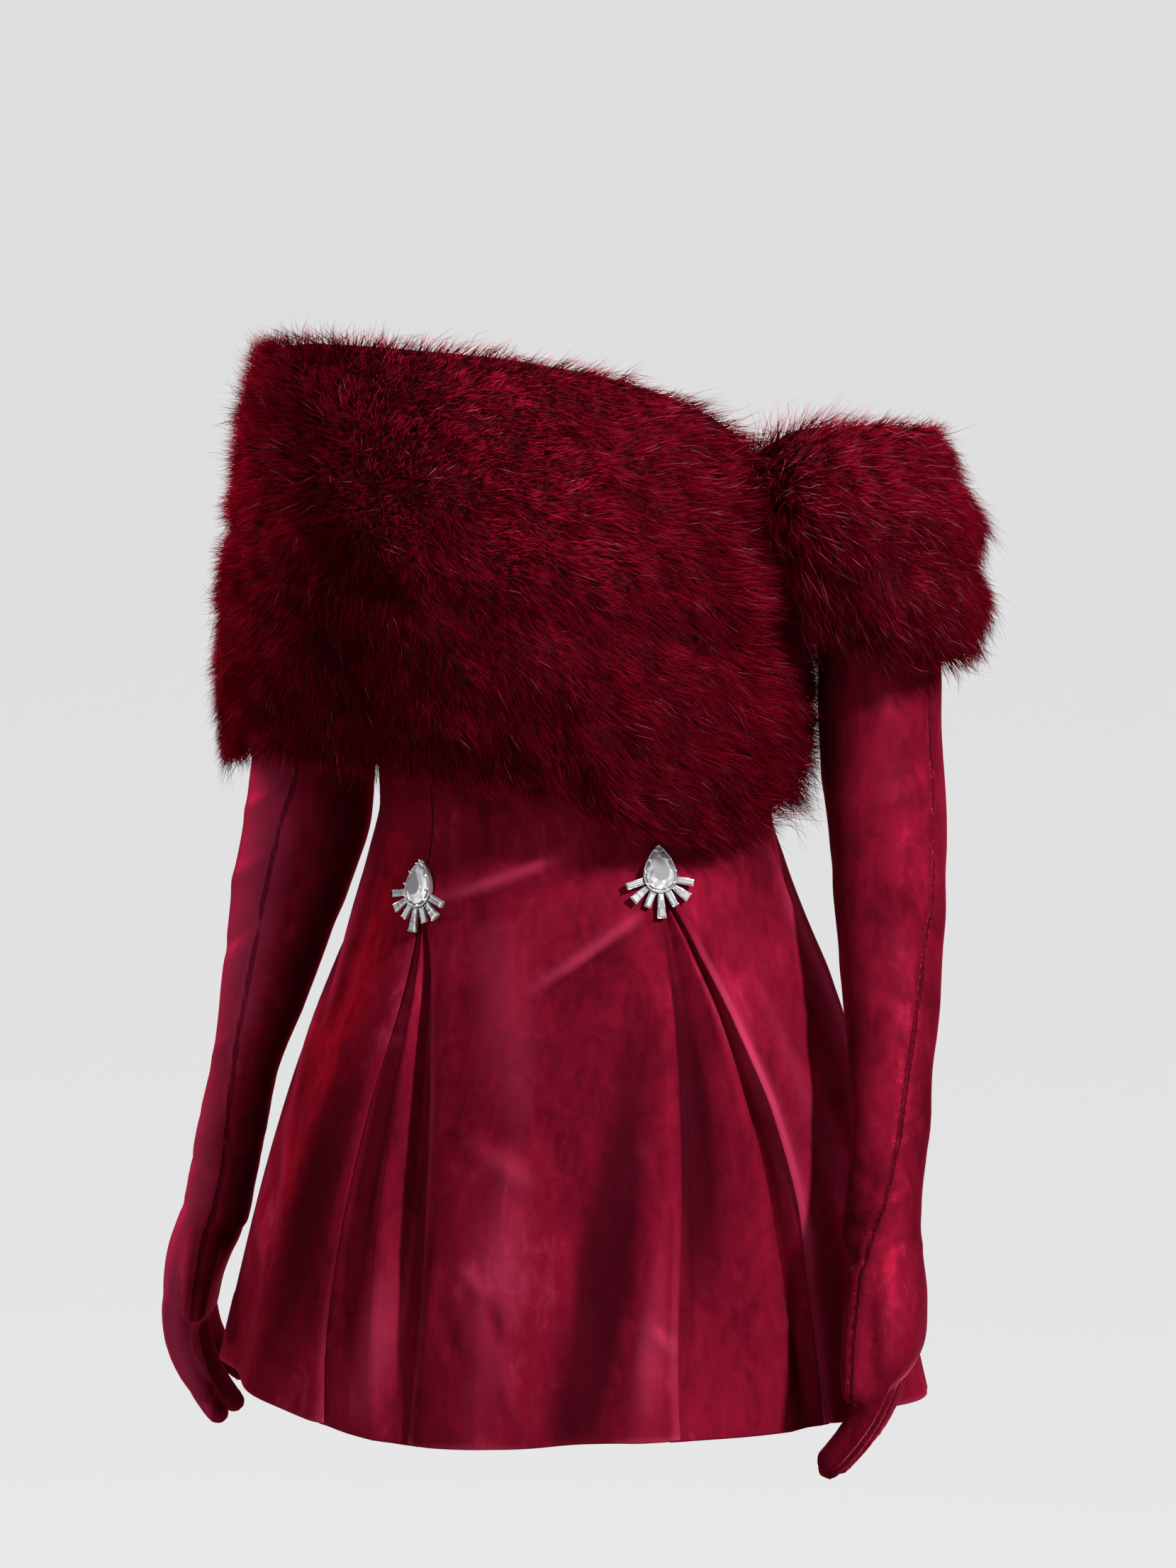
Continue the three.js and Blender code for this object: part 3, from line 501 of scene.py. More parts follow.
bodice = {
    "cloth": 1.8, "seamGap": 0.3, "seamInset": -0.16, "hem": -346.0,
    # height, half width, depth in front, depth behind, sideways shift
    "shape": [
        (-360, 218, 171, 163, 0), (-340, 213, 168, 160, 0), (-240, 191, 150, 145, 1),
        (-166, 172, 134, 130, 3), (-105, 150, 118, 112, 4), (-62, 134, 104, 97, 2),
        (-30, 124, 95, 87, 1), (0, 118, 89, 81, 0), (50, 121, 95, 82, 0),
        (100, 127, 110, 86, 0), (140, 128, 117, 88, 0), (200, 122, 106, 84, 0),
    ],
    # angle from the front centre, hem height, height of the top edge
    "edges": [
        (-180, -1, 150), (-120, -2, 132), (-90, -5, 104), (-60, 0, 148), (-33, -4, 176), (-16, -5, 180),
        (0, 0, 180), (20, 6, 178), (50, 6, 162), (90, 0, 104), (130, -1, 136), (180, -1, 150),
    ],
    # soft folds of the skirt: angle at the waist and at the hem, width, height
    "folds": [
        (62, 65, 4.5, 5), (70, 74, 6, -4), (84, 86, 7, 4), (0, 5, 16, 3), (-46, -52, 7, 4),
        (-60, -66, 7, -4), (-76, -80, 8, 4), (-104, -106, 9, -5), (-122, -126, 9, 6),
        (-144, -146, 9, -5), (-163, -163, 9, 5), (163, 163, 9, 5), (143, 145, 9, -5),
        (121, 125, 9, 6), (102, 105, 9, -5),
    ],
    # creases: from angle, from height, to angle, to height, half width and height in millimetres
    "creases": [
        (-27, -40, 14, -2, 4.5, 2.6), (-24, -50, 20, -14, 6, -1.6), (-20, -28, 26, 8, 5, -1.2),
        (27, -44, 2, -82, 4.5, 2.4), (22, -58, 6, -92, 6, -1.4), (-6, -60, -2, -150, 13, 1.1),
        (9, -90, 4, -200, 11, -1.0), (-75, -20, -66, -120, 7, 1.7), (-62, -40, -58, -150, 7, -1.3),
        (-78, -100, -66, -190, 6, 1.5), (-70, -190, -56, -236, 6, 1.3), (-74, -250, -58, -280, 7, 1.2),
        (-9, -244, -4, -258, 3.6, 1.1), (-3, -262, -1, -284, 3.2, -1.2), (0, -296, 3, -330, 4, 0.9),
        (-13, -262, -8, -300, 5, -0.9), (-14, -236, -15, -300, 4, 1.1), (25, -276, 29, -290, 3.6, 1.2),
        (10, -236, 12, -330, 5, 0.9), (48, -90, 60, -240, 8, 1.4), (62, -60, 74, -160, 8, -1.3),
        (70, -150, 76, -300, 8, 1.3), (40, -60, 52, -150, 5, 1.2), (86, -40, 92, -170, 9, 1.6),
        (104, -30, 112, -160, 9, 1.5), (128, -60, 124, -190, 9, -1.4), (150, -30, 158, -170, 9, 1.6),
        (172, -60, 168, -200, 9, -1.3), (-160, -40, -150, -180, 9, 1.5), (-136, -30, -140, -150, 8, -1.4),
        (-112, -50, -116, -200, 9, 1.5), (-96, -30, -98, -160, 8, -1.3), (-50, 20, -30, 60, 8, 1.2),
        (40, 10, 20, 50, 8, 1.1), (-12, -172, 6, -196, 7, 1.0),
        (22, -120, 11, -346, 15, -3.2), (31, -110, 22, -346, 9, 1.2),
        (2, -130, -4, -346, 12, 1.3), (-16, -110, -15, -346, 8, -1.2),
    ],
    # patches of painted light and shade: angle, height, half width in degrees, half height, lean for each 100
    # mm, amount
    "paintedLightAndShade": [
        (-46, -225, 9, 105, 4, -0.95), (-78, -70, 12, 70, 0, 0.45), (-60, -250, 8, 50, 0, 0.2),
        (35.5, -165, 5.2, 90, 0, -1.5), (15.5, -275, 4.4, 105, 6.4, -0.75), (64, -150, 4, 110, -6, 0.3),
        (88, -160, 8, 150, 0, 0.35), (6, -30, 24, 26, 0, 0.15), (-4, -250, 10, 40, 0, 0.22),
        (24, -290, 4, 30, 0, 0.3), (-25, -300, 5, 50, 0, 0.55), (-12, -80, 6, 60, 0, 0.2),
        (112, -120, 14, 90, 3, -0.5), (150, -200, 12, 100, -3, 0.35), (-150, -150, 14, 110, 3, -0.45),
        (-112, -180, 12, 90, -3, 0.35), (178, -260, 12, 70, 0, -0.3),
    ],
    "relief": 1.8, "hemBand": 40.0, "hemStep": 0.55, "top": 150.0,
    # share of painted highlight on crease ridges and painted shade in their troughs; amount and half height
    # of the painted highlight along the hem
    "rubbedMarksAndRidgeLight": 0.15, "hemHighlight": (0.45, 2.6),
    # depth and half width of a seam's narrow and broad hollow
    "groove": ((0.75, 2.0), (0.35, 7)),
}
halfAt, frontAt, backAt, shiftAt = curvesOf(bodice["shape"])
hemAt, topAt = curvesOf(bodice["edges"])


def foldsAt(angle, z):
    down = np.clip(z / bodice["hem"], 0, 1)
    total = 0
    for waist, hem, width, height in bodice["folds"]:
        away = (angle - waist - (hem - waist) * down) / width
        total = total + height * bell(away)
    return total * down * np.sqrt(down)


def creasesAt(angle, z):
    # each crease is a soft ridge or trough along a slanting line, fading towards both ends
    scale = np.radians(frontAt(z))
    total = 0
    for fromAngle, fromZ, toAngle, toZ, width, height in bodice["creases"]:
        alongX, alongZ = (toAngle - fromAngle) * scale, toZ - fromZ
        dx, dz = (angle - fromAngle) * scale, z - fromZ
        length = alongX**2 + alongZ**2
        share = np.clip((dx * alongX + dz * alongZ) / length, -0.15, 1.15)
        away = ((dx - share * alongX) ** 2 + (dz - share * alongZ) ** 2) / width**2
        fade = np.clip(np.sin(math.pi * (share + 0.15) / 1.3), 0, 1) ** 0.7
        total = total + height * np.exp(-away) * fade
    return total * bodice["relief"]


def paintedLightAndShadeAt(angle, z):
    # painted light and shade, from -1 dark to 1 bright: listed patches, and painted highlight on crease
    # ridges with painted shade in their troughs
    total = bodice["rubbedMarksAndRidgeLight"] * creasesAt(angle, z)
    for at, height, wide, tall, lean, amount in bodice["paintedLightAndShade"]:
        across = (angle - at - lean * (z - height) / 100) / wide
        total = total + amount * bell(across, (z - height) / tall)
    return np.clip(total, -1, 1)


def onDress(angle, z, out, relief=True):
    # the point at an angle and height, with folds and creases, that much outside the cloth's line
    t = np.radians(angle)
    half = halfAt(z)
    depth = np.where(np.cos(t) > 0, frontAt(z), backAt(z))
    away = unit(np.stack([np.sin(t) / half, -np.cos(t) / depth, 0 * t], -1))
    reach = out + foldsAt(angle, z)
    if relief:
        reach = reach + creasesAt(angle, z)
    point = np.stack([shiftAt(z) + half * np.sin(t), -depth * np.cos(t), z + 0 * t], -1)
    return point + away * reach[..., None]


def steps(count, edge):
    # even steps from 0 to 1, closer together at both ends for a rounded edge
    inner = np.linspace(edge, 1 - edge, count - 3)
    return np.concatenate([[0, edge * 0.3], inner, [1 - edge * 0.3, 1]])


def travelled(points, axis):
    # distance walked along a grid from its start and from its end
    step = np.linalg.norm(np.diff(points, axis=axis), axis=-1)
    start = np.zeros(points.shape[:2])
    if axis == 1:
        start[:, 1:] = np.cumsum(step, axis=1)
        return start, start[:, -1:] - start
    start[1:] = np.cumsum(step, axis=0)
    return start, start[-1:] - start


noSeam = 30.0  # millimetres to a seam, where there is none near


def shell(name, points, thickness, material, nodes, paintedLightAndShade, sewn=False):
    # a closed sheet on a grid of points: rounded on all four edges, its thickness laid inwards
    rows, columns = points.shape[:2]
    across = np.gradient(points, axis=1)
    upward = np.gradient(points, axis=0)
    normal = unit(np.cross(across, upward))
    left, right = travelled(points, 1)
    low, high = travelled(points, 0)
    near = np.minimum(np.minimum(left, right), np.minimum(low, high))
    radius = thickness / 2
    short = np.clip(radius - near, 0, radius)
    sink = radius - np.sqrt(radius**2 - short**2)
    outer = points - normal * sink[..., None]
    inner = points - normal * (thickness - sink)[..., None]
    ids = np.arange(rows * columns).reshape(rows, columns)
    inside = ids.copy()
    count = (rows - 2) * (columns - 2)
    inside[1:-1, 1:-1] = rows * columns + np.arange(count).reshape(rows - 2, columns - 2)
    every = np.concatenate([outer.reshape(-1, 3), inner[1:-1, 1:-1].reshape(-1, 3)])
    faces = np.concatenate([gridFaces(ids), turnedOver(gridFaces(inside))])
    seam = np.where(sewn, np.minimum(left, right), noSeam)
    flat = np.stack([left - left.mean(), low], -1) * 0.001

    def both(values):
        return np.concatenate([values.reshape(rows * columns, -1), values[1:-1, 1:-1].reshape(count, -1)])

    # the painted light and shade goes onto the sheet as a mark
    piece = meshObject(name, every, faces, {"seam": both(seam).ravel(), "paintedLightAndShade": both(paintedLightAndShade).ravel()}, both(flat))
    return finishPiece(piece, material, nodes)


pleats = {
    # height, edge, near, ridge, far and side angles, depth
    "left": [
        (-350, 28.8, 33.2, 49, 53, 56, 4.4), (-290, 29.4, 33.6, 50.2, 53.8, 57, 13),
        (-230, 30.8, 34.6, 50.8, 54, 57, 21), (-166, 32.1, 35.4, 48.6, 51.5, 54.2, 20),
        (-105, 33.6, 36.4, 45, 47, 48.6, 14), (-62, 34.6, 36.6, 40.6, 42, 43, 8),
        (-36, 35, 35.4, 36.2, 37, 37.6, 4), (-28, 35, 35, 35, 35, 35, 3), (200, 35, 35, 35, 35, 35, 3),
    ],
    "right": [
        (-350, 16, 19.2, 22.4, 28, 33, 4), (-290, 16.3, 20.4, 25.2, 31, 36.2, 11),
        (-230, 17.5, 22, 27.3, 32.4, 37, 18), (-166, 20.2, 24, 28.4, 32.6, 36.6, 17),
        (-105, 25.6, 28, 30.8, 33.2, 35.6, 12), (-66, 30, 31, 32.6, 33.8, 35, 7),
        (-50, 33.4, 33.6, 34, 34.6, 35, 4), (-42, 35, 35, 35, 35, 35, 3), (200, 35, 35, 35, 35, 35, 3),
    ],
    "top": {"left": -26, "right": -40}, "tuck": 5.0, "hemLift": -1.8, "fullAt": 12.0,
    # the folded edges roll in by this much over this width, from this far below the pleat's top; then the
    # amount, place and half width of the painted highlight along each folded edge
    "roll": 2.4, "rollWidth": 4.5, "opens": 6, "edgeHighlight": (0.5, 2, 2.2),
    "under": {"left": 2.6, "right": 0.6}, "farShare": {"left": 1.0, "right": 0.6},
}
pleatAt = {side: curvesOf(pleats[side]) for side in ("left", "right")}


def panel(name, columns, rows, fromEdge, toEdge, sewnAbove, cut):
    # one cut panel between two edges, given as angles at each height
    us, vs = np.meshgrid(steps(columns, 0.009), steps(rows, 0.0022))
    hem, top = bodice["hem"], bodice["top"]
    hemAngle = fromEdge(hem) + (toEdge(hem) - fromEdge(hem)) * us
    topAngle = fromEdge(top) + (toEdge(top) - fromEdge(top)) * us
    low = hem + hemAt(hemAngle)
    z = low + (topAt(topAngle) - low) * vs
    width = np.radians(frontAt(z))
    inset = bodice["seamInset"] / width
    start, end = fromEdge(z) + inset, toEdge(z) - inset
    angle = start + (end - start) * us
    toLeft, toRight = (angle - start) * width, (end - angle) * width
    hemAmount, hemHalf = bodice["hemHighlight"]
    edgeAmount, edgeAt, edgeHalf = pleats["edgeHighlight"]
    # the painted light and shade, with a painted highlight along the hem
    paintedLightAndShade = paintedLightAndShadeAt(angle, z) + hemAmount * bell((z - low) / hemHalf)
    sink = 0.0
    for away, above in ((toLeft, sewnAbove[0]), (toRight, sewnAbove[1])):
        below = above - pleats["opens"] - z
        hollow = sum(depth * bell(away / half) for depth, half in bodice["groove"])
        sink = sink - smoothStep((z - above + 4) / 8) * hollow
        sink = sink - pleats["roll"] * smoothStep(below / 40) * bell(away / pleats["rollWidth"])
        # a painted highlight along each folded pleat edge
        paintedLightAndShade = paintedLightAndShade + edgeAmount * smoothStep(below / 30) * bell((away - edgeAt) / edgeHalf)
    band = bodice["hemStep"] * (1 - smoothStep((z - low - bodice["hemBand"] + 2) / 4))
    points = onDress(angle, z, band + sink)
    near = np.where(toLeft < toRight, z > sewnAbove[0], z > sewnAbove[1])
    paintedLightAndShade = np.clip(paintedLightAndShade, -1, 1)
    piece = shell(f"velvet_{name}", points, bodice["cloth"], velvet, [name], paintedLightAndShade, near)
    declareCloth(piece, cut)


def straight(angle):
    return lambda z: angle + 0.0 * z


def rightPleat(column):
    return lambda z: -pleatAt["right"][column](z)


rightTop, leftTop, wholly = pleats["top"]["right"], pleats["top"]["left"], -900
for row in (
        # name, columns, rows, both edges, heights above which they are sewn, cut
        ("front_centre", 62, 150, rightPleat(0), pleatAt["left"][0], (rightTop, leftTop),
         (0.17, 0.54, 0.082)),
        ("side_front_left", 46, 150, pleatAt["left"][4], straight(90.0), (leftTop, wholly),
         (0.135, 0.52, 0.048)),
        ("side_front_right", 54, 150, straight(-90.0), rightPleat(4), (wholly, rightTop),
         (0.165, 0.52, 0.064)),
        ("back_left", 56, 96, straight(90.0), straight(180.0), (wholly, wholly), (0.27, 0.50, 0.106)),
        ("back_right", 56, 96, straight(-180.0), straight(-90.0), (wholly, wholly), (0.27, 0.50, 0.106))):
    panel(*row)
print("panels sewn")


def underlay(side, sign, cut):
    # the cloth folded in behind a pleat: a valley with a ridge that shows between its edges
    edge, near, ridge, far, outer, depth = pleatAt[side]
    behind = bodice["cloth"] + bodice["seamGap"]
    us, vs = np.meshgrid(steps(34, 0.02), steps(80, 0.004))
    hem = bodice["hem"]
    across = np.interp(us if sign > 0 else 1 - us, np.linspace(0, 1, 7),
                       [edge(hem), edge(hem), near(hem), ridge(hem), far(hem), outer(hem), outer(hem)])
    low = hem + hemAt(sign * across) + pleats["hemLift"]
    z = low + (pleats["top"][side] - low) * vs
    tuck = pleats["tuck"] / np.radians(frontAt(z))
    sharp = np.minimum(1, depth(z) / pleats["fullAt"])
    angles = [edge(z) - tuck, edge(z), near(z), ridge(z), far(z), outer(z), outer(z) + tuck]
    edgeDepth = behind + pleats["roll"] * smoothStep((pleats["top"][side] - pleats["opens"] - z) / 40)
    depths = [edgeDepth, edgeDepth, np.maximum(depth(z), behind),
              behind + (pleats["under"][side] - behind) * sharp,
              np.maximum(depth(z) * pleats["farShare"][side], behind), edgeDepth, edgeDepth]
    place = (us if sign > 0 else 1 - us) * 6
    index = np.clip(np.floor(place), 0, 5).astype(int)
    share = place - index
    angles, depths = np.stack(angles), np.stack(depths)
    rows, columns = np.indices(us.shape)
    angle = angles[index, rows, columns] * (1 - share) + angles[index + 1, rows, columns] * share
    sunk = depths[index, rows, columns] * (1 - share) + depths[index + 1, rows, columns] * share
    points = onDress(sign * angle, z, -sunk)
    # the underlay gets the painted light and shade of the skirt, with its painted shadow in the pleat
    piece = shell(f"velvet_pleat_underlay_{side}", points, bodice["cloth"], velvet,
                  [f"pleat_underlay_{side}"], paintedLightAndShadeAt(sign * angle, z))
    declareCloth(piece, cut)


underlay("left", 1, (0.11, 0.32, 0.027))
underlay("right", -1, (0.09, 0.31, 0.0226))
print("pleats folded")

zipTape = {"low": -120.0, "high": 128.0, "half": 9.0, "cloth": 1.2}


def makeZip():
    us, vs = np.meshgrid(steps(16, 0.05), steps(60, 0.004))
    z = zipTape["low"] + (zipTape["high"] - zipTape["low"]) * vs
    angle = 180 + (us * 2 - 1) * zipTape["half"] / np.radians(backAt(z))
    points = onDress(angle, z, -bodice["cloth"] - 3 * bodice["seamGap"] + 0 * z)
    piece = shell("zip_tape_behind", points, zipTape["cloth"], tape, ["back_zip"], 0 * z)
    declareCloth(piece, (0.026, 0.248, 0.0064))


makeZip()
print("zip tape in")


# gloved sleeves: each arm is one run of cloth, so it stands for its sleeve and its glove
arms = {
    "cloth": 1.5, "voxel": 2.9, "smooth": 3, "uneven": 0.55, "sides": 48,
    # half width of the drawn seam, depth and half width of its hollow, unevenness of the pile in the painted
    # light and shade
    "seamHalf": 1.1, "hollow": (0.8, 2.2), "pileAndPaintedLight": 0.12,
    "right": {
        # height, centre across and front to back, radius
        "tube": [
            (115, -167.2, 28.6, 37.5), (60, -167, 26, 36.4), (10, -169.7, 25, 37.4), (-24, -173.7, 24, 38.4),
            (-56, -180.5, 21, 36.6), (-100, -191.2, 16, 31), (-143, -201.4, 11, 25), (-185, -211.8, 7, 21.2),
            (-221, -219, 4, 21), (-251, -224.4, 3, 21), (-268, -228, 3, 21.6), (-276, -231, 4, 22),
        ],
        # height, centre, half width front to back, half thickness
        "palm": [
            (-262, -227, 3, 20.6, 20.6), (-284, -235, 6, 28, 21), (-302, -242, 10, 34, 18.5),
            (-322, -247, 14, 36, 15), (-338, -248, 15, 34, 12), (-344, -248, 15, 25, 7),
        ],
        # root, bend and tip, radius at both ends; the last is the thumb
        "fingers": [
            ((-249, -13, -322), (-253, -12.4, -358), (-231, -12, -380), 9, 7.4),
            ((-249, 5, -324), (-254, 5, -368), (-229, 5, -398), 9, 7.4),
            ((-249, 23, -324), (-253, 26.3, -367), (-226.5, 29, -398), 8.8, 7.2),
            ((-248, 40, -322), (-252, 43.3, -358), (-228, 46, -384), 8, 6.6),
            ((-230, -12, -280), (-231, -26.3, -300), (-229.5, -38, -320), 12, 8),
        ],
        # height and turn round the arm of the long seam, then its way down the thumb
        "seam": [(115, -90), (3, -91), (-19, -100), (-66, -101), (-114, -100), (-150, -100), (-183, -90),
                 (-233, -75), (-262, -78)],
        "thumbSeam": [(-226, -26, -278), (-227, -38, -300), (-228, -46, -318), (-229, -44, -328)],
        # height, turn, slope, width, reach round and height of each crease
        "creases": [
            (-8, -120, 12, 6, 46, 1.8), (-30, -60, -10, 6, 40, -1.4), (-52, -130, 14, 7, 50, 1.6),
            (-78, -70, -12, 7, 44, 1.3), (-96, -140, 16, 6, 40, -1.4), (-124, -50, -12, 7, 50, 1.2),
            (-160, -120, 12, 6, 44, 1.1), (-204, -70, 8, 4.5, 60, 1.1), (-216, -110, -8, 4, 50, -1.0),
            (-228, -60, 8, 3.6, 60, 1.3), (-240, -120, -6, 3.4, 60, -1.1), (-252, -80, 6, 3.4, 70, 1.2),
            (-262, -150, 6, 3.4, 60, -1.0), (-60, 60, 12, 8, 50, 1.5), (-110, 90, -12, 7, 50, -1.4),
            (-20, 130, 12, 8, 50, 1.5), (-190, 80, 10, 6, 60, 1.2), (-236, 110, 6, 4, 60, 1.1),
        ],
        # painted light and shade on the sleeve: turn round the arm, half width, amount
        "paintedLightAndShade": [(-128, 48, 0.8), (-44, 30, -0.45), (90, 50, 0.2)],
        "cut": (0.24, 0.66, 0.100),
    },
    "left": {
        "tube": [
            (150, 173, 23, 36), (95, 178.6, 18, 36.4), (41, 181.2, 15, 36.4), (-9, 188.9, 2, 35),
            (-50, 194.7, -16, 32), (-97, 201, -38, 28.4), (-134, 205.4, -58, 25), (-165, 208.6, -74, 22.2),
            (-195, 208.4, -84, 22.4), (-222, 207.5, -90, 23), (-230, 209, -91, 23.4),
        ],
        "palm": [
            (-216, 207, -89, 22, 22), (-240, 213, -93, 29.5, 20), (-262, 218.6, -96, 35, 16.8),
            (-285, 220, -98, 36.5, 15), (-301, 216.6, -99, 34, 12), (-307, 215, -99, 25, 7),
        ],
        "fingers": [
            ((217, -125, -284), (213, -123.9, -320), (185, -123, -352), 9, 7.4),
            ((218, -108, -286), (213, -107.4, -328), (182, -107, -362), 9, 7.4),
            ((218, -92, -286), (214, -92, -332), (184, -92, -364), 8.8, 7.2),
            ((217, -77, -284), (216, -77.6, -330), (192, -78, -356), 8, 6.6),
            ((205, -110, -240), (202, -123.2, -276), (203, -134, -305), 12.5, 8.4),
        ],
        "seam": [(150, -20), (-4, -23.5), (-36, -28), (-82, -41), (-123, -53), (-166, -64), (-200, -78),
                 (-218, -92)],
        "thumbSeam": [(202, -122, -240), (200, -135, -274), (201, -142, -300), (203, -141, -312)],
        "creases": [
            (20, -60, 14, 8, 50, 1.4), (-14, -120, 12, 7, 50, -1.2), (-40, -40, -14, 8, 44, 1.5),
            (-64, -110, 12, 7, 50, 1.3), (-92, -60, -10, 6, 50, -1.2), (-130, -100, 10, 6, 50, 1.1),
            (-168, -60, 8, 4.5, 60, 1.1), (-186, -110, -8, 4, 60, -1.1), (-200, -70, 8, 4, 60, 1.3),
            (-212, -130, -6, 3.6, 60, -1.1), (-222, -80, 6, 3.4, 70, 1.1), (-30, 60, 12, 8, 50, 1.5),
            (-90, 100, -12, 7, 50, -1.4), (10, 140, 12, 8, 50, 1.4), (-150, 80, 10, 6, 60, 1.2),
        ],
        "paintedLightAndShade": [(-125, 34, -0.4), (-70, 26, 0.12), (-10, 30, -0.3), (100, 50, 0.2)],
        "cut": (0.24, 0.66, 0.100),
    },
}


def ringSolid(name, rings):
    # a closed skin through rings of points, with a middle point at each end
    count, sides = rings.shape[:2]
    points = np.concatenate([rings.reshape(-1, 3), rings[:1].mean(1), rings[-1:].mean(1)])
    ids = np.arange(count * sides).reshape(count, sides)
    after = np.roll(ids, -1, axis=1)
    a, b, c, d = ids[:-1].ravel(), after[:-1].ravel(), after[1:].ravel(), ids[1:].ravel()
    first, last = count * sides, count * sides + 1
    faces = np.concatenate([
        np.stack([a, b, c], -1), np.stack([a, c, d], -1),
        np.stack([after[0], ids[0], np.full(sides, first)], -1),
        np.stack([ids[-1], after[-1], np.full(sides, last)], -1),
    ])
    return meshObject(name, points, faces)


def fingerRings(root, bend, tip, wide, slim):
    # rings along a bent finger, and four smaller ones over its tip
    root, bend, tip = (np.array(p, float) for p in (root, bend, tip))
    shares = np.linspace(0, 1, 12)[:, None]
    centres = root * (1 - shares) ** 2 + bend * 2 * shares * (1 - shares) + tip * shares**2
    along = unit((bend - root) * (1 - shares) + (tip - bend) * shares)
    radii = wide + (slim - wide) * shares[:, 0]
    end, way = centres[-1:], along[-1:]
    for lean in (25, 48, 68, 84):
        angle = math.radians(lean)
        centres = np.concatenate([centres, end + way * slim * math.sin(angle)])
        along = np.concatenate([along, way])
        radii = np.append(radii, slim * math.cos(angle))
    side = unit(np.cross(along, [0.0, 1.0, 0.0]))
    deep = np.cross(along, side)
    turn = np.linspace(0, 2 * math.pi, 20, endpoint=False)[None, :, None]
    ring = side[:, None] * np.cos(turn) + deep[:, None] * np.sin(turn)
    return centres[:, None] + ring * radii[:, None, None]


def lineDistance(points, line):
    # distance from each point to a line of short straight stretches
    best = np.full(len(points), 1e9)
    for start, end in zip(line[:-1], line[1:]):
        way = end - start
        share = np.clip(((points - start) @ way) / max(way @ way, 1e-6), 0, 1)
        best = np.minimum(best, np.linalg.norm(points - start - share[:, None] * way, axis=1))
    return best


def makeArm(side):
    arm = arms[side]
    centreX, centreY, radius = curvesOf(arm["tube"])
    palmX, palmY, broad, thick = curvesOf(arm["palm"])
    top, wrist = arm["tube"][0][0], arm["tube"][-2][0]
    turn = np.linspace(0, 2 * math.pi, arms["sides"], endpoint=False)[None, :]

    def crossSections(low, high, count, x, y, half, deep):
        z = np.linspace(low, high, count)[:, None]
        return np.stack([x(z) + half(z) * np.cos(turn), y(z) + deep(z) * np.sin(turn), z + 0 * turn], -1)

    tube = crossSections(arm["tube"][-1][0], top + 8, 150, centreX, centreY, radius, radius)
    palm = crossSections(arm["palm"][-1][0], arm["palm"][0][0], 24, palmX, palmY, thick, broad)
    skins = [ringSolid("tube", tube), ringSolid("palm", palm)]
    skins += [ringSolid("finger", fingerRings(*row)[:, ::-1]) for row in arm["fingers"]]
    piece = joined(skins, f"gloved_sleeve_{side}")
    editAll(piece)
    bpy.ops.mesh.normals_make_consistent(inside=False)
    closeEdit()
    applyModifier(piece, "REMESH", mode="VOXEL", voxel_size=arms["voxel"] * 0.001, use_smooth_shade=True)
    applyModifier(piece, "SMOOTH", iterations=arms["smooth"], factor=0.5)
    editAll(piece)
    bpy.ops.mesh.bisect(plane_co=(0, 0, (top - bustHeight) * 0.001), plane_no=(0, 0, 1), clear_outer=True)
    closeEdit()

    # the long seam runs down the arm, over the wrist and down the thumb
    rows = np.array(sorted(arm["seam"]), float)
    heights = np.linspace(top, rows[0, 0], 70)
    turns = np.radians(np.interp(heights, rows[:, 0], rows[:, 1]))
    line = np.stack([centreX(heights) + radius(heights) * np.cos(turns),
                     centreY(heights) + radius(heights) * np.sin(turns), heights], -1)
    line = np.concatenate([line, np.array(arm["thumbSeam"], float)])
    onSkin = []
    for start, end in zip(line[:-1], line[1:]):
        for share in np.linspace(0, 1, max(2, int(np.linalg.norm(end - start) / 3))):
            point = Vector(millimetres(start + (end - start) * share))
            onSkin.append(np.array(piece.closest_point_on_mesh(point)[1]) * 1000 + [0, 0, bustHeight])
    seam = np.array(onSkin)

    def roundArm(points):
        x, y, z = points.T
        return np.degrees(np.arctan2(y - centreY(z), x - centreX(z)))

    points, normals = pointsOf(piece), readVectors(piece.data.vertex_normals, "vector")
    around, onHand = roundArm(points), smoothStep((wrist - points[:, 2]) / 20)
    relief = arms["uneven"] * waves(points, 46, 3)
    for height, at, slope, width, span, rise in arm["creases"]:
        away = turnFrom(around, at)
        relief = relief + rise * bell((points[:, 2] - height - slope * away / 45) / width, away / span)
    deep, half = arms["hollow"]
    relief = relief * (1 - 0.75 * onHand) - deep * bell(lineDistance(points, seam) / half)
    setPoints(piece, points + normals * relief[:, None])
    applyModifier(piece, "SOLIDIFY", thickness=arms["cloth"] * 0.001, offset=-1, use_rim=True)
    points = pointsOf(piece)
    around = roundArm(points)
    setMark(piece.data, "seam", np.clip(lineDistance(points, seam) - arms["seamHalf"], 0, noSeam))
    # painted light and shade on the sleeve, with a little unevenness
    pileAndPaintedLight = arms["pileAndPaintedLight"] * waves(points, 60, 5)
    for at, wide, amount in arm["paintedLightAndShade"]:
        pileAndPaintedLight = pileAndPaintedLight + amount * bell(turnFrom(around, at) / wide)
    setMark(piece.data, "paintedLightAndShade", np.clip(pileAndPaintedLight, -1, 1))
    piece.data.shade_smooth()
    finishPiece(piece, velvet, [f"sleeve_{side}", f"glove_{side}"])
    declareCloth(piece, arm["cut"])
    print("arm ready", side, len(piece.data.polygons))


for side in ("right", "left"):
    makeArm(side)


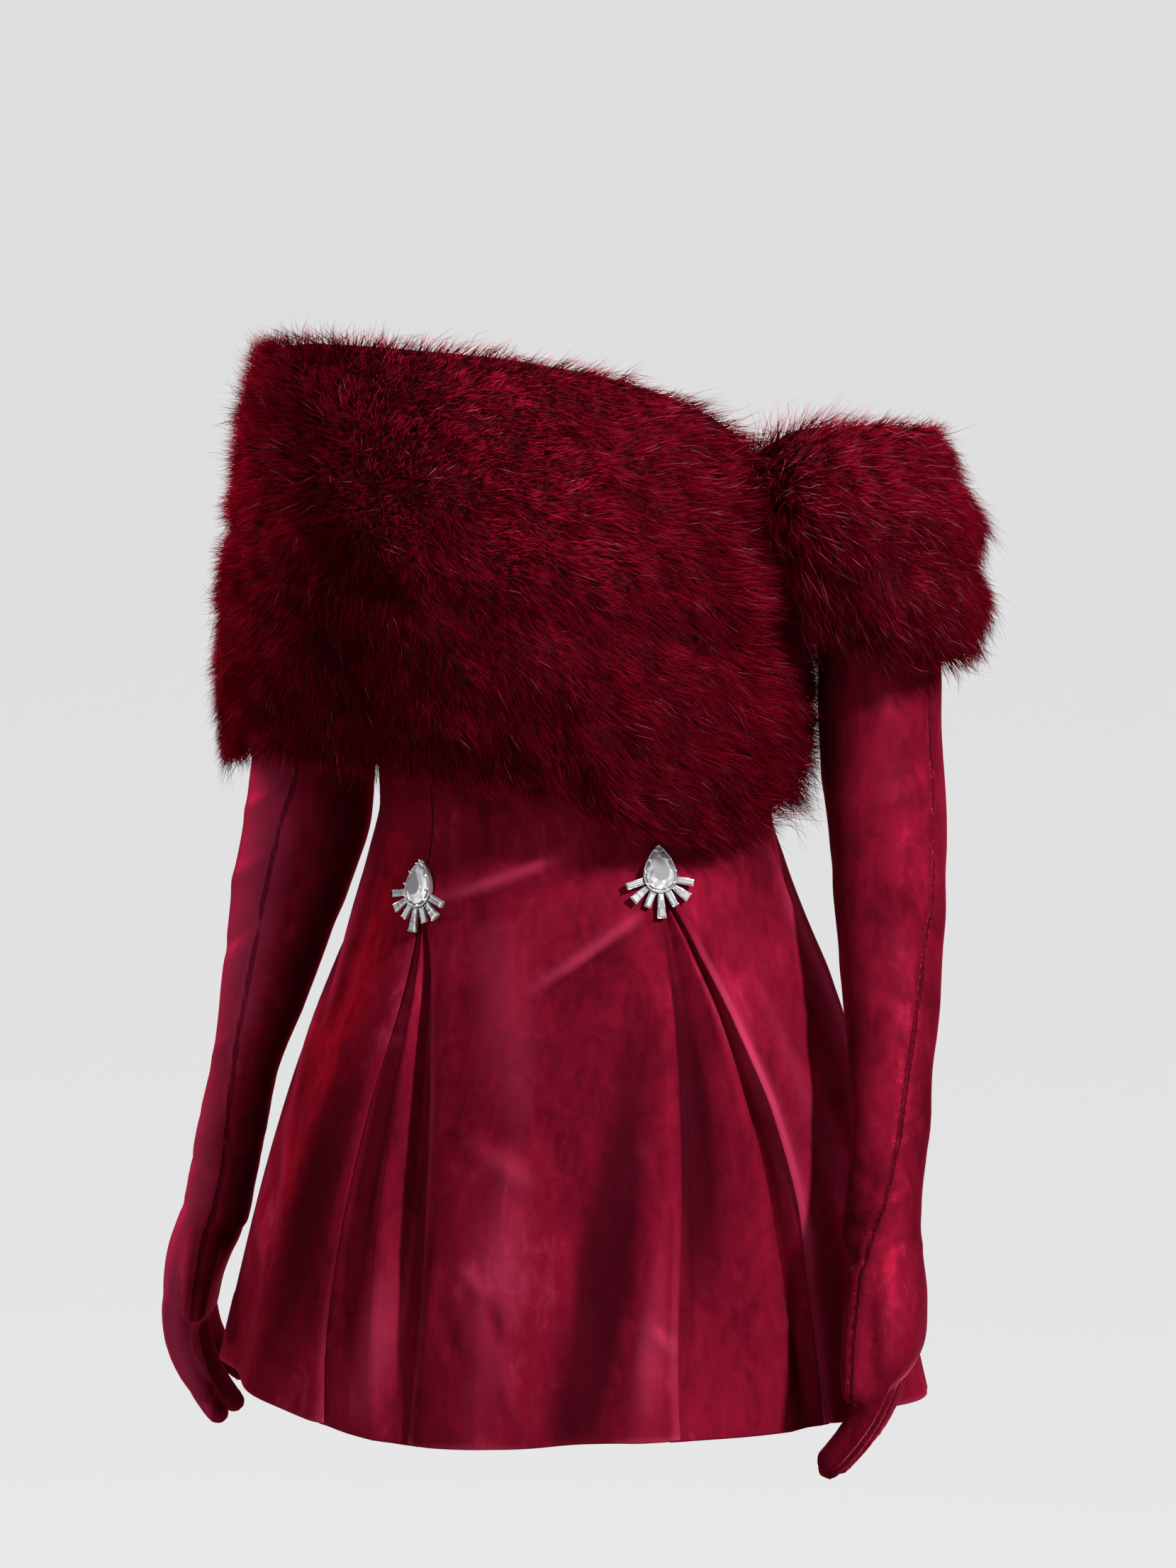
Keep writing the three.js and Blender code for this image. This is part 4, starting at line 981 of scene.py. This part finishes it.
# fur: a thick ground with rounded edges, and locks of hair that grow from it
wrap = {
    "centre": -33.0, "seams": (-96.0, 92.0), "seamHalf": 0.07, "least": 0.22, "hair": 7.0, "uneven": 0.9,
    # angle, low and high edge, reach at low, middle and high, thickness
    "rows": [
        (-180, 34, 224, 99.4, 108, 104, 16), (-146, 34, 230, 119, 124, 117, 16),
        (-128, 30, 238, 148, 149, 138, 16), (-117, 24, 244, 175, 173, 151, 15),
        (-105, 17, 250, 193, 189, 160, 15), (-96, 14, 256, 193.6, 189, 161, 16),
        (-80, 22, 270, 182, 181, 160, 18), (-64, 34, 281, 161, 167, 155, 18),
        (-44, 36, 291, 138, 152, 145, 18), (-28, 36, 293, 123, 143, 134, 18),
        (-13, 34, 293, 117, 139, 128, 18), (3, 34, 292, 119, 140, 128, 18),
        (21, 27, 288, 129, 148, 137, 18), (36, 15, 281, 140, 158, 150, 18),
        (48, 4, 270, 151, 166, 161, 18), (57, 0, 257, 160, 172, 169, 18),
        (65, 2, 236, 168, 177, 175, 17), (76, 12, 184, 175, 178, 177, 15),
        (84, 20, 156, 177, 178, 176, 12), (92, 34, 130, 174.6, 174.6, 174, 10),
        (104, 42, 140, 165, 166, 165, 9), (122, 40, 172, 146, 150, 148, 12),
        (143, 36, 203, 121, 128, 123, 15),
    ],
    "valley": {"start": 190.0, "fall": 0.47, "width": 14.0, "depth": 4.6},
    "whorl": (-27.0, 182.0),
    # rolls and furrows of the fur: angle, height, half width in degrees, half height, rise
    "rolls": [(-108, 186, 24, 15, 5.0), (-108, 212, 24, 7, -5.0), (-90, 157, 38, 8, -6.0)],
}
shoulder = {
    "fur": 20.0, "fold": 3.6, "folds": 2.5, "centre": (176.0, 8.0),
    # place along the strip, then low, middle and high: across, front to back; low and high edge
    "rows": [
        (0, 126, -14, 126, 116, -36, 102, -58, 222), (1, 160, -52, 124, 152, -70, 141, -84, 243),
        (2, 186, -58, 116, 180, -76, 166, -72, 247), (3, 214, -46, 105, 216, -54, 196, -45, 246),
        (4, 238, -16, 100, 240, -14, 215, -8, 238), (5, 242, 24, 100, 241, 28, 216, 28, 230),
        (6, 224, 60, 104, 222, 66, 201, 60, 221), (7, 186, 78, 110, 182, 86, 170, 79, 212),
        (8, 144, 74, 118, 140, 82, 134, 78, 195), (9, 104, 59, 128, 103, 62, 101, 63, 164),
    ],
}
hair = {
    # strands in a tuft, spread and gathering of a tuft, length and its variation, radius at the root, how far
    # the hair stands up from the skin, and strands in all
    "under": {"perTuft": 4, "spread": 4.4, "gather": 0.15, "length": 14.0, "vary": 0.16, "thick": 0.26,
              "lift": 0.58, "counts": {"front": 62000, "back": 15000, "shoulder": 19000}},
    "guard": {"perTuft": 3, "spread": 6.0, "gather": 0.1, "length": 21.0, "vary": 0.22, "thick": 0.16,
              "lift": 0.46, "counts": {"front": 15000, "back": 4200, "shoulder": 5200}},
    # painted shade and light on the coat: angle, height, half width in degrees, half height, amount
    "paintedShadeAndLight": [(-33, 130, 10, 75, -0.42), (-62, 90, 22, 60, -0.15), (30, 150, 22, 50, 0.16),
              (62, 90, 12, 40, 0.15)],
    # unevenness, as amount, size in millimetres and seed: of the way, of the lift and of the shade
    "swirl": ((0.30, 40, 7), (0.20, 14, 8)), "rise": (0.13, 22, 9), "shade": (0.2, 18, 10),
    # the hair is longer where the wrap and the shoulder piece meet: extra length, place across, half width
    "join": (0.75, 138, 28),
    # share of strands in the longer coat that are painted glints, from where on and over what width they grow
    # in number
    "glints": (0.18, 20, 170), "darkest": 0, "lightest": 0.94,
}


def turned(rows):
    return [(row[0] + turn,) + row[1:] for turn in (-360, 0, 360) for row in rows]


lowAt, highAt, reachLowAt, reachMidAt, reachHighAt, furAt = curvesOf(turned(wrap["rows"]))


def threeWay(v, low, middle, high):
    lowShare, highShare = 2 * (v - 0.5) * (v - 1), 2 * v * (v - 0.5)
    return low * lowShare + high * highShare + middle * (1 - lowShare - highShare)


def wrapSurface(angle, v):
    reach = threeWay(v, reachLowAt(angle), reachMidAt(angle), reachHighAt(angle))
    t = np.radians(angle)
    z = lowAt(angle) + (highAt(angle) - lowAt(angle)) * v
    return np.stack([wrap["centre"] + reach * np.sin(t), -reach * np.cos(t), z], -1)


def valleyAt(angle, z):
    valley = wrap["valley"]
    line = valley["start"] - valley["fall"] * (angle - wrap["seams"][0])
    inFront = smoothStep((wrap["seams"][1] - angle) / 30)
    return valley["depth"] * bell((z - line) / valley["width"]) * inFront


def furGroundShell(name, points, along, outerInset, innerInset):
    # a closed wall on a grid: both skins lie level inside the surface
    rows, columns = points.shape[:2]
    outward = unit(np.stack([along[..., 1], -along[..., 0], 0 * along[..., 0]], -1))
    outer = points - outward * outerInset[..., None]
    inner = points - outward * innerInset[..., None]
    ids = np.arange(rows * columns).reshape(rows, columns)
    far = ids + rows * columns
    faces = [gridFaces(ids), turnedOver(gridFaces(far))]
    for near, behindIt, turns in ((ids[:, 0], far[:, 0], False), (ids[:, -1], far[:, -1], True),
                                  (ids[0], far[0], True), (ids[-1], far[-1], False)):
        rim = gridFaces(np.stack([near, behindIt]))
        faces.append(turnedOver(rim) if turns else rim)
    every = np.concatenate([outer.reshape(-1, 3), inner.reshape(-1, 3)])
    return meshObject(name, every, np.concatenate(faces))


def furWalls(thickness, v, hairDepth):
    fullness = np.maximum(wrap["least"], np.sqrt(np.maximum(0, 1 - np.abs(2 * v - 1) ** 4)))
    outer = thickness / 2 * (1 - fullness) + np.minimum(hairDepth, 0.42 * thickness) * fullness
    return outer, thickness / 2 * (1 + fullness)


def wrapGround(name, fromAngle, toAngle, across, up):
    fromAngle, toAngle = fromAngle + wrap["seamHalf"], toAngle - wrap["seamHalf"]
    us, vs = np.meshgrid(np.linspace(0, 1, across), np.linspace(0.02, 0.98, up))
    angle = fromAngle + (toAngle - fromAngle) * us
    points = wrapSurface(angle, vs)
    along = wrapSurface(angle + 0.5, vs) - wrapSurface(angle - 0.5, vs)
    outer, inner = furWalls(furAt(angle), vs, wrap["hair"])
    if toAngle <= wrap["seams"][1]:
        outer = np.minimum(outer + valleyAt(angle, points[..., 2]), inner - 2)
    outer = outer + wrap["uneven"] * waves(points, 30, 11)
    for at, height, wide, tall, rise in wrap["rolls"]:
        outer = outer - rise * bell((angle - at) / wide, (points[..., 2] - height) / tall)
    outer = np.clip(outer, 0.5, inner - 2)
    return furGroundShell(name, points, along, outer, inner)


def shoulderSurface(us, vs):
    place = us * (len(shoulder["rows"]) - 1)
    lowX, lowY, low, midX, midY, highX, highY, high = (curve(place) for curve in curvesOf(shoulder["rows"]))
    across, deep = threeWay(vs, lowX, midX, highX), threeWay(vs, lowY, midY, highY)
    return np.stack([across, deep, low + (high - low) * vs], -1)


def shoulderGround(name):
    us, vs = np.meshgrid(np.linspace(0, 1, 70), np.linspace(0.02, 0.98, 30))
    points = shoulderSurface(us, vs)
    along = shoulderSurface(us + 0.004, vs) - shoulderSurface(us - 0.004, vs)
    outer, inner = furWalls(shoulder["fur"], vs, wrap["hair"])
    swing = np.sin(math.pi * us) * np.sin(math.pi * vs)
    outer = outer + shoulder["fold"] * swing * np.cos(2 * math.pi * shoulder["folds"] * vs)
    return furGroundShell(name, points, along, outer, inner)


def rootsOn(ground, centre, count, random):
    # points spread evenly over the outside of a fur ground, with their normals
    mesh = ground.data
    mesh.calc_loop_triangles()
    corners = np.empty(len(mesh.loop_triangles) * 3, np.int32)
    mesh.loop_triangles.foreach_get("vertices", corners)
    points = pointsOf(ground)
    a, b, c = (points[corners.reshape(-1, 3)[:, k]] for k in range(3))
    cross = np.cross(b - a, c - a)
    normal = unit(cross)
    away = (a + b + c) / 3 - [centre[0], centre[1], 0]
    away[:, 2] = 0
    facing = (normal * unit(away)).sum(1)
    weight = np.linalg.norm(cross, axis=1) * smoothStep((facing + 0.45) / 0.5)
    picked = random.choice(len(weight), count, p=weight / weight.sum())
    first, second = random.random((2, count, 1))
    over = first + second > 1
    first, second = np.where(over, 1 - first, first), np.where(over, 1 - second, second)
    place = a[picked] + (b - a)[picked] * first + (c - a)[picked] * second
    return place, normal[picked]


def wrapFlow(points):
    # hair runs out from the whorl at the front, and down over the back
    angle = np.degrees(np.arctan2(points[:, 0] - wrap["centre"], -points[:, 1]))
    aside = np.radians(angle - wrap["whorl"][0]) * 150
    rise = points[:, 2] - wrap["whorl"][1]
    reach = np.sqrt(aside**2 + rise**2) + 25
    behind = smoothStep((np.abs(angle + 8) - 95) / 40)
    sideways = (aside / reach + 0.25) * (1 - behind) + 0.15 * behind
    upward = (rise / reach - 0.22) * (1 - behind) - 0.8 * behind
    t = np.radians(angle)
    return np.stack([np.cos(t) * sideways, np.sin(t) * sideways, upward], -1)


def shoulderFlow(points):
    # hair runs out and down from where the shoulder piece leaves the wrap
    way = points - np.array([120.0, -60.0, 190.0])
    way = unit(way) + np.array([0.1, 0.0, -0.25])
    behind = smoothStep(points[:, 1] / 50)[:, None]
    return way * (1 - behind) + np.array([0.3, 0.1, -0.8]) * behind


def growHair(name, ground, centre, look, count, flowAt, slices, seed, bent):
    # tufts stand on the fur ground; the strands of a tuft lie beside each other and close towards its tip
    random = np.random.default_rng(seed)
    perTuft = look["perTuft"]
    tufts = count // perTuft
    total = tufts * perTuft
    root, normal = rootsOn(ground, centre, tufts, random)
    flow = flowAt(root)
    flow = flow - normal * (flow * normal).sum(1, keepdims=True)
    swirl = sum(amount * waves(root, size, key) for amount, size, key in hair["swirl"])
    flow = flow * np.cos(swirl)[:, None] + np.cross(normal, flow) * np.sin(swirl)[:, None]
    flow = flow + 0.12 * random.normal(size=flow.shape)
    length = look["length"] * (1 + look["vary"] * random.normal(size=tufts).clip(-1.6, 1.6))
    longer, at, wide = hair["join"]
    length = length * (1 + longer * bell((root[:, 0] - at) / wide))
    amount, size, key = hair["rise"]
    lift = np.clip(look["lift"] + amount * waves(root, size, key), 0.2, 0.95)
    amount, size, key = hair["shade"]
    shade = 0.5 + amount * waves(root, size, key) + 0.14 * random.normal(size=tufts)
    around = np.degrees(np.arctan2(root[:, 0] - wrap["centre"], -root[:, 1]))
    # painted shade on the left of the coat and painted light on the right
    for at, height, wide, tall, amount in hair["paintedShadeAndLight"]:
        shade = shade + amount * bell((around - at) / wide, (root[:, 2] - height) / tall)
    shade = np.clip(shade, hair["darkest"], hair["lightest"])

    root, normal, flow, length, lift, shade = (
        np.repeat(values, perTuft, axis=0) for values in (root, normal, flow, length, lift, shade))
    offset = random.normal(size=(total, 3)) * look["spread"] * 0.6
    offset -= normal * (offset * normal).sum(1, keepdims=True)
    start = root + offset - normal * 1.6
    length = length * random.uniform(0.7, 1.12, total)
    first = unit(normal * lift[:, None] + flow * 0.75 + [0, 0, -0.10] + 0.09 * random.normal(size=(total, 3)))
    side = unit(np.cross(first, random.normal(size=(total, 3))))
    deep = np.cross(first, side)
    thin = random.uniform(0.75, 1.2, total)[:, None] * look["thick"]
    rings = [side * math.cos(turn) + deep * math.sin(turn) for turn in np.arange(3) * 2 * math.pi / 3]
    foot = [start + ring * thin for ring in rings]
    if bent:
        away = 0.12 * random.normal(size=(total, 3))
        second = unit(normal * (lift[:, None] * 0.3) + flow + [0, 0, -0.12] + away)
        middle = start + first * (length * 0.48)[:, None]
        tip = middle + second * (length * 0.56)[:, None] - offset * look["gather"]
        corners = foot + [middle + ring * thin * 0.75 for ring in rings] + [tip]
        strand = [(0, 2, 1)]
        for k in range(3):
            n = (k + 1) % 3
            strand += [(k, n, 3 + n), (k, 3 + n, 3 + k), (3 + k, 3 + n, 6)]
        along = [0, 0, 0, 0.5, 0.5, 0.5, 1.0]
    else:
        tip = start + first * length[:, None] - offset * look["gather"]
        corners = foot + [tip]
        strand = [(0, 2, 1), (0, 1, 3), (1, 2, 3), (2, 0, 3)]
        along = [0, 0, 0, 1.0]
    points = np.stack(corners, 1)
    shades = np.clip(shade + 0.08 * random.normal(size=total), hair["darkest"], hair["lightest"])
    # a few strands become painted glints, more of them on the lit side
    share, fromPlace, width = hair["glints"]
    litShare = share * (0.15 + smoothStep((start[:, 0] - fromPlace) / width)) * bent
    shades = np.where(random.random(total) < litShare, 1.0, shades)
    pieces = []
    order = np.argsort(np.arctan2(start[:, 0] - centre[0], -(start[:, 1] - centre[1])))
    for k, chosen in enumerate(np.array_split(order, slices)):
        size = len(chosen)
        faces = (np.array(strand)[None] + np.arange(size)[:, None, None] * len(corners)).reshape(-1, 3)
        marks = {"along": np.tile(along, size), "shade": np.repeat(shades[chosen], len(corners))}
        piece = meshObject(f"{name}_{k + 1}", points[chosen].reshape(-1, 3), faces, marks)
        pieces.append(finishPiece(piece, fur))
    return pieces


seamRight, seamLeft = wrap["seams"]
wrapCentre = (wrap["centre"], 0.0)
front = wrapGround("fur_wrap_front_ground", seamRight, seamLeft, 110, 44)
behind = wrapGround("fur_wrap_back_ground", seamLeft, seamRight + 360, 90, 34)
strip = shoulderGround("fur_shoulder_ground")
for cutter in (front, behind):
    applyModifier(strip, "BOOLEAN", operation="DIFFERENCE", object=cutter, solver="EXACT")
print("fur grounds ready")
for ground, node, cut, label, centre, flowAt, slices in (
        (front, "fur_wrap_front", (0.56, 0.26, 0.118), "front", wrapCentre, wrapFlow, 2),
        (behind, "fur_wrap_back", (0.50, 0.19, 0.075), "back", wrapCentre, wrapFlow, 1),
        (strip, "fur_shoulder_left", (0.34, 0.13, 0.037), "shoulder", shoulder["centre"], shoulderFlow, 1)):
    finishPiece(ground, furGround, [node])
    locks = []
    for coat in ("under", "guard"):
        look, bent = hair[coat], coat == "guard"
        locks += growHair(f"{node}_{coat}", ground, centre, look, look["counts"][label], flowAt,
                          1 if bent else slices, seedValue + len(locks), bent)
    declareCloth(ground, cut)
    print("hair grown", label)


# brooches: a pear-shaped stone in claws over a fan of seven stone-set arms
brooches = {
    "angle": 35.0, "halfWidth": 10.4, "halfHeight": 14.2, "collar": 4.2, "floor": 1.2,
    "fanCentre": -4.5, "armDepth": 3.4, "armGap": 0.35, "lift": 1.0, "claws": 11,
    # rim, depth and rounding of the setting and of an arm's tray; rim and depth of a cut stone's edge
    "cup": (1.3, 2.8, 0.35), "tray": (0.35, 0.7, 0.18), "cut": (0.42, 0.5),
    # rings of the crown: size, rise, and by how many steps each is turned before and after it is shaped
    "facets": 16, "crown": ((0.70, 2.0, 0.0, 0.5), (0.50, 1.4, 0.5, 0.0)),
    "heights": {"left": -17.0, "right": -34.0},
    # name, turn from straight down, outer end, width at the inner and outer end
    "arms": [
        ("baguette_1", -76, 20.6, 4, 4), ("taper_1", -51, 21.4, 3.2, 5.6), ("baguette_2", -26, 19.6, 4, 4),
        ("taper_2", 0, 24.4, 3.2, 5.6), ("baguette_3", 26, 19.6, 4, 4), ("taper_3", 51, 21.4, 3.2, 5.6),
        ("baguette_4", 76, 20.6, 4, 4),
    ],
}


def pearAt(turn, scale=1.0):
    # the outline of the stone, its point up
    x = brooches["halfWidth"] / 0.84 * math.sin(turn) * math.sin(turn / 2) ** 0.8 * scale
    return x, brooches["halfHeight"] * math.cos(turn) * scale


def topFace(face):
    return face.normal.z > 0.9


def pearBlock(sides, low, high, lowScale, highScale):
    # a low block with the stone's outline
    deselectAll()
    bpy.ops.mesh.primitive_cylinder_add(vertices=sides, radius=1, depth=1, location=(0, 0, 0))
    block = bpy.context.object
    for vertex in block.data.vertices:
        turn = math.atan2(vertex.co.x, vertex.co.y) % (2 * math.pi)
        upper = vertex.co.z > 0
        x, y = pearAt(turn, highScale if upper else lowScale)
        vertex.co = Vector((x, y, high if upper else low)) * 0.001
    return block


def push(rise):
    bpy.ops.mesh.extrude_region_move(TRANSFORM_OT_translate={"value": (0, 0, rise * 0.001)})


def hollow(piece, rim, depth, rounding):
    # sinks the top of a block inside its rim and rounds the edges
    editFaces(piece, topFace)
    bpy.ops.mesh.inset(thickness=rim * 0.001)
    push(-depth)
    closeEdit()
    applyModifier(piece, "BEVEL", width=rounding * 0.001, segments=2)
    return piece


def bead(radius, place, segments, scale=(1, 1, 1)):
    deselectAll()
    bpy.ops.mesh.primitive_uv_sphere_add(segments=segments, ring_count=segments // 2 + 1,
                                         radius=radius * 0.001, location=[value * 0.001 for value in place])
    claw = bpy.context.object
    claw.scale = scale
    bpy.ops.object.transform_apply(location=True, rotation=True, scale=True)
    return claw


def pearSetting():
    parts = [hollow(pearBlock(40, 0, brooches["collar"], 0.9, 1.0), *brooches["cup"])]
    for k in range(brooches["claws"]):
        x, y = pearAt(max(2 * math.pi * k / brooches["claws"], 0.001), 0.93)
        parts.append(bead(1.05, (x, y, 4.7), 10, (0.9, 0.9, 1.5)))
    return parts


def pearStone():
    # a girdle, a ring of crown facets and a flat table, each ring half a step on from the last
    stone = pearBlock(brooches["facets"], brooches["floor"] + 0.3, brooches["collar"] + 0.6, 0.60, 0.86)
    step = 2 * math.pi / brooches["facets"]
    for scale, rise, before, after in brooches["crown"]:
        editFaces(stone, topFace)
        push(rise)
        closeEdit()
        top = max(vertex.co.z for vertex in stone.data.vertices)
        for vertex in stone.data.vertices:
            if vertex.co.z > top - 1e-6:
                turn = math.atan2(vertex.co.x, vertex.co.y) % (2 * math.pi)
                exact = (round(turn / step - before) + after) * step
                vertex.co.x, vertex.co.y = (0.001 * value for value in pearAt(exact % (2 * math.pi), scale))
    editFaces(stone, lambda face: len(face.verts) == 4)
    bpy.ops.mesh.quads_convert_to_tris(quad_method="SHORTEST_DIAGONAL")
    closeEdit()
    return stone


def armStart(turn, inside):
    # where an arm starts, so that its inner end just clears the stone's setting
    best = 0
    for k in range(360):
        x, y = pearAt(math.radians(k))
        y -= brooches["fanCentre"]
        if abs(x * math.cos(turn) + y * math.sin(turn)) <= inside / 2:
            best = max(best, x * math.sin(turn) - y * math.cos(turn))
    return best + brooches["armGap"]


def taperedBlock(near, far, insideWidth, outsideWidth, low, high, offset=0.0):
    # a block lying along -Y whose width changes from its near to its far end
    deselectAll()
    bpy.ops.mesh.primitive_cube_add(size=2)
    block = bpy.context.object
    for vertex in block.data.vertices:
        outer = vertex.co.y < 0
        width = outsideWidth if outer else insideWidth
        vertex.co = Vector((vertex.co.x * width / 2 + offset * width, -far if outer else -near,
                            high if vertex.co.z > 0 else low)) * 0.001
    return block


def cutStone(block):
    rim, depth = brooches["cut"]
    editFaces(block, topFace)
    bpy.ops.mesh.inset(thickness=rim * 0.001, depth=depth * 0.001)
    closeEdit()
    return block


def turnArm(part, turn):
    part.rotation_euler = (0, 0, turn)
    part.location = (0, brooches["fanCentre"] * 0.001, 0)
    activate(part)
    bpy.ops.object.transform_apply(location=True, rotation=True, scale=True)


def broochArm(name, turn, end, inside, outside):
    # a shallow tray of silver with its cut stones and six small claws
    start = armStart(turn, inside)
    low, high = 0.3, 0.3 + brooches["armDepth"]
    tray = hollow(taperedBlock(start, end, inside, outside, low, high - 0.9), *brooches["tray"])
    metal, stones = [tray], []
    near, far = start + 0.5, end - 0.5
    if name.startswith("baguette"):
        rows = [(near, far, side) for side in (-0.25, 0.25)]
    else:
        cuts = [near, near + (far - near) * 0.30, near + (far - near) * 0.62, far]
        rows = [(a, b, 0.0) for a, b in zip(cuts[:-1], cuts[1:])]
    for a, b, side in rows:
        share = 0.5 if side else 1.0
        slope = outside - inside
        wide, slim = ((inside + slope * (place - start) / (end - start) - 0.9) * share for place in (a, b))
        stones.append(cutStone(taperedBlock(a + 0.1, b - 0.1, wide - 0.12, slim - 0.12,
                                            high - 1.5, high - 0.35, side * 2.1)))
    middle = (start + end) / 2, (inside + outside) / 2
    for place, width in ((start + 0.35, inside), (end - 0.35, outside), middle):
        for side in (-1, 1):
            metal.append(bead(0.42, (side * (width / 2 - 0.3), -place, high - 0.55), 8))
    for part in metal + stones:
        turnArm(part, turn)
    return metal, stones


def broochPlace(side, sign):
    # the brooch lies square to the cloth, lifted clear of what is under it
    z, angle = brooches["heights"][side], sign * brooches["angle"]

    def cloth(turn, up):
        return onDress(np.array(float(angle + turn)), np.array(float(z + up)), 0.0, relief=False)

    here = cloth(0, 0)
    rise = unit(cloth(0, 8) - cloth(0, -8))
    along = unit(cloth(2, 0) - cloth(-2, 0))
    outward = unit(np.cross(along, rise))
    upward = unit(np.cross(outward, along))
    seat = max(float((cloth(turn, up) - here) @ outward) for turn in (-7, 0, 7) for up in (-16, -10, 0, 10))
    origin = millimetres(here + outward * (max(seat, 0) + brooches["lift"]))
    matrix = Matrix.Identity(4)
    for k, axis in enumerate((along, upward, outward, origin)):
        for row in range(3):
            matrix[row][k] = axis[row]
    return matrix


def makeBrooch(side, sign):
    metal, stones = pearSetting(), [pearStone()]
    for name, turn, end, inside, outside in brooches["arms"]:
        armMetal, armStones = broochArm(name, math.radians(turn), end, inside, outside)
        metal += armMetal
        stones += armStones
    place = broochPlace(side, sign)
    metal = joined(metal, f"brooch_{side}_claws_and_arms")
    stones = joined(stones, f"brooch_{side}_stones")
    for piece in (metal, stones):
        piece.data.transform(place)
    metal.data.shade_smooth()
    activate(metal)
    bpy.ops.object.shade_smooth_by_angle(angle=math.radians(35))
    stones.data.shade_flat()
    # each facet gets a random grey as its painted reflection
    random = np.random.default_rng(seedValue)
    setMark(stones.data, "paintedFacetReflection", random.uniform(0.12, 1.0, len(stones.data.polygons)), "FACE")
    finishPiece(metal, silver,
                [f"brooch_{side}_setting"] + [f"brooch_{side}_{row[0]}" for row in brooches["arms"]])
    finishPiece(stones, crystal, [f"brooch_{side}_crystal"])
    print("brooch set", side)


for side, sign in (("left", 1), ("right", -1)):
    makeBrooch(side, sign)

print("all pieces made")
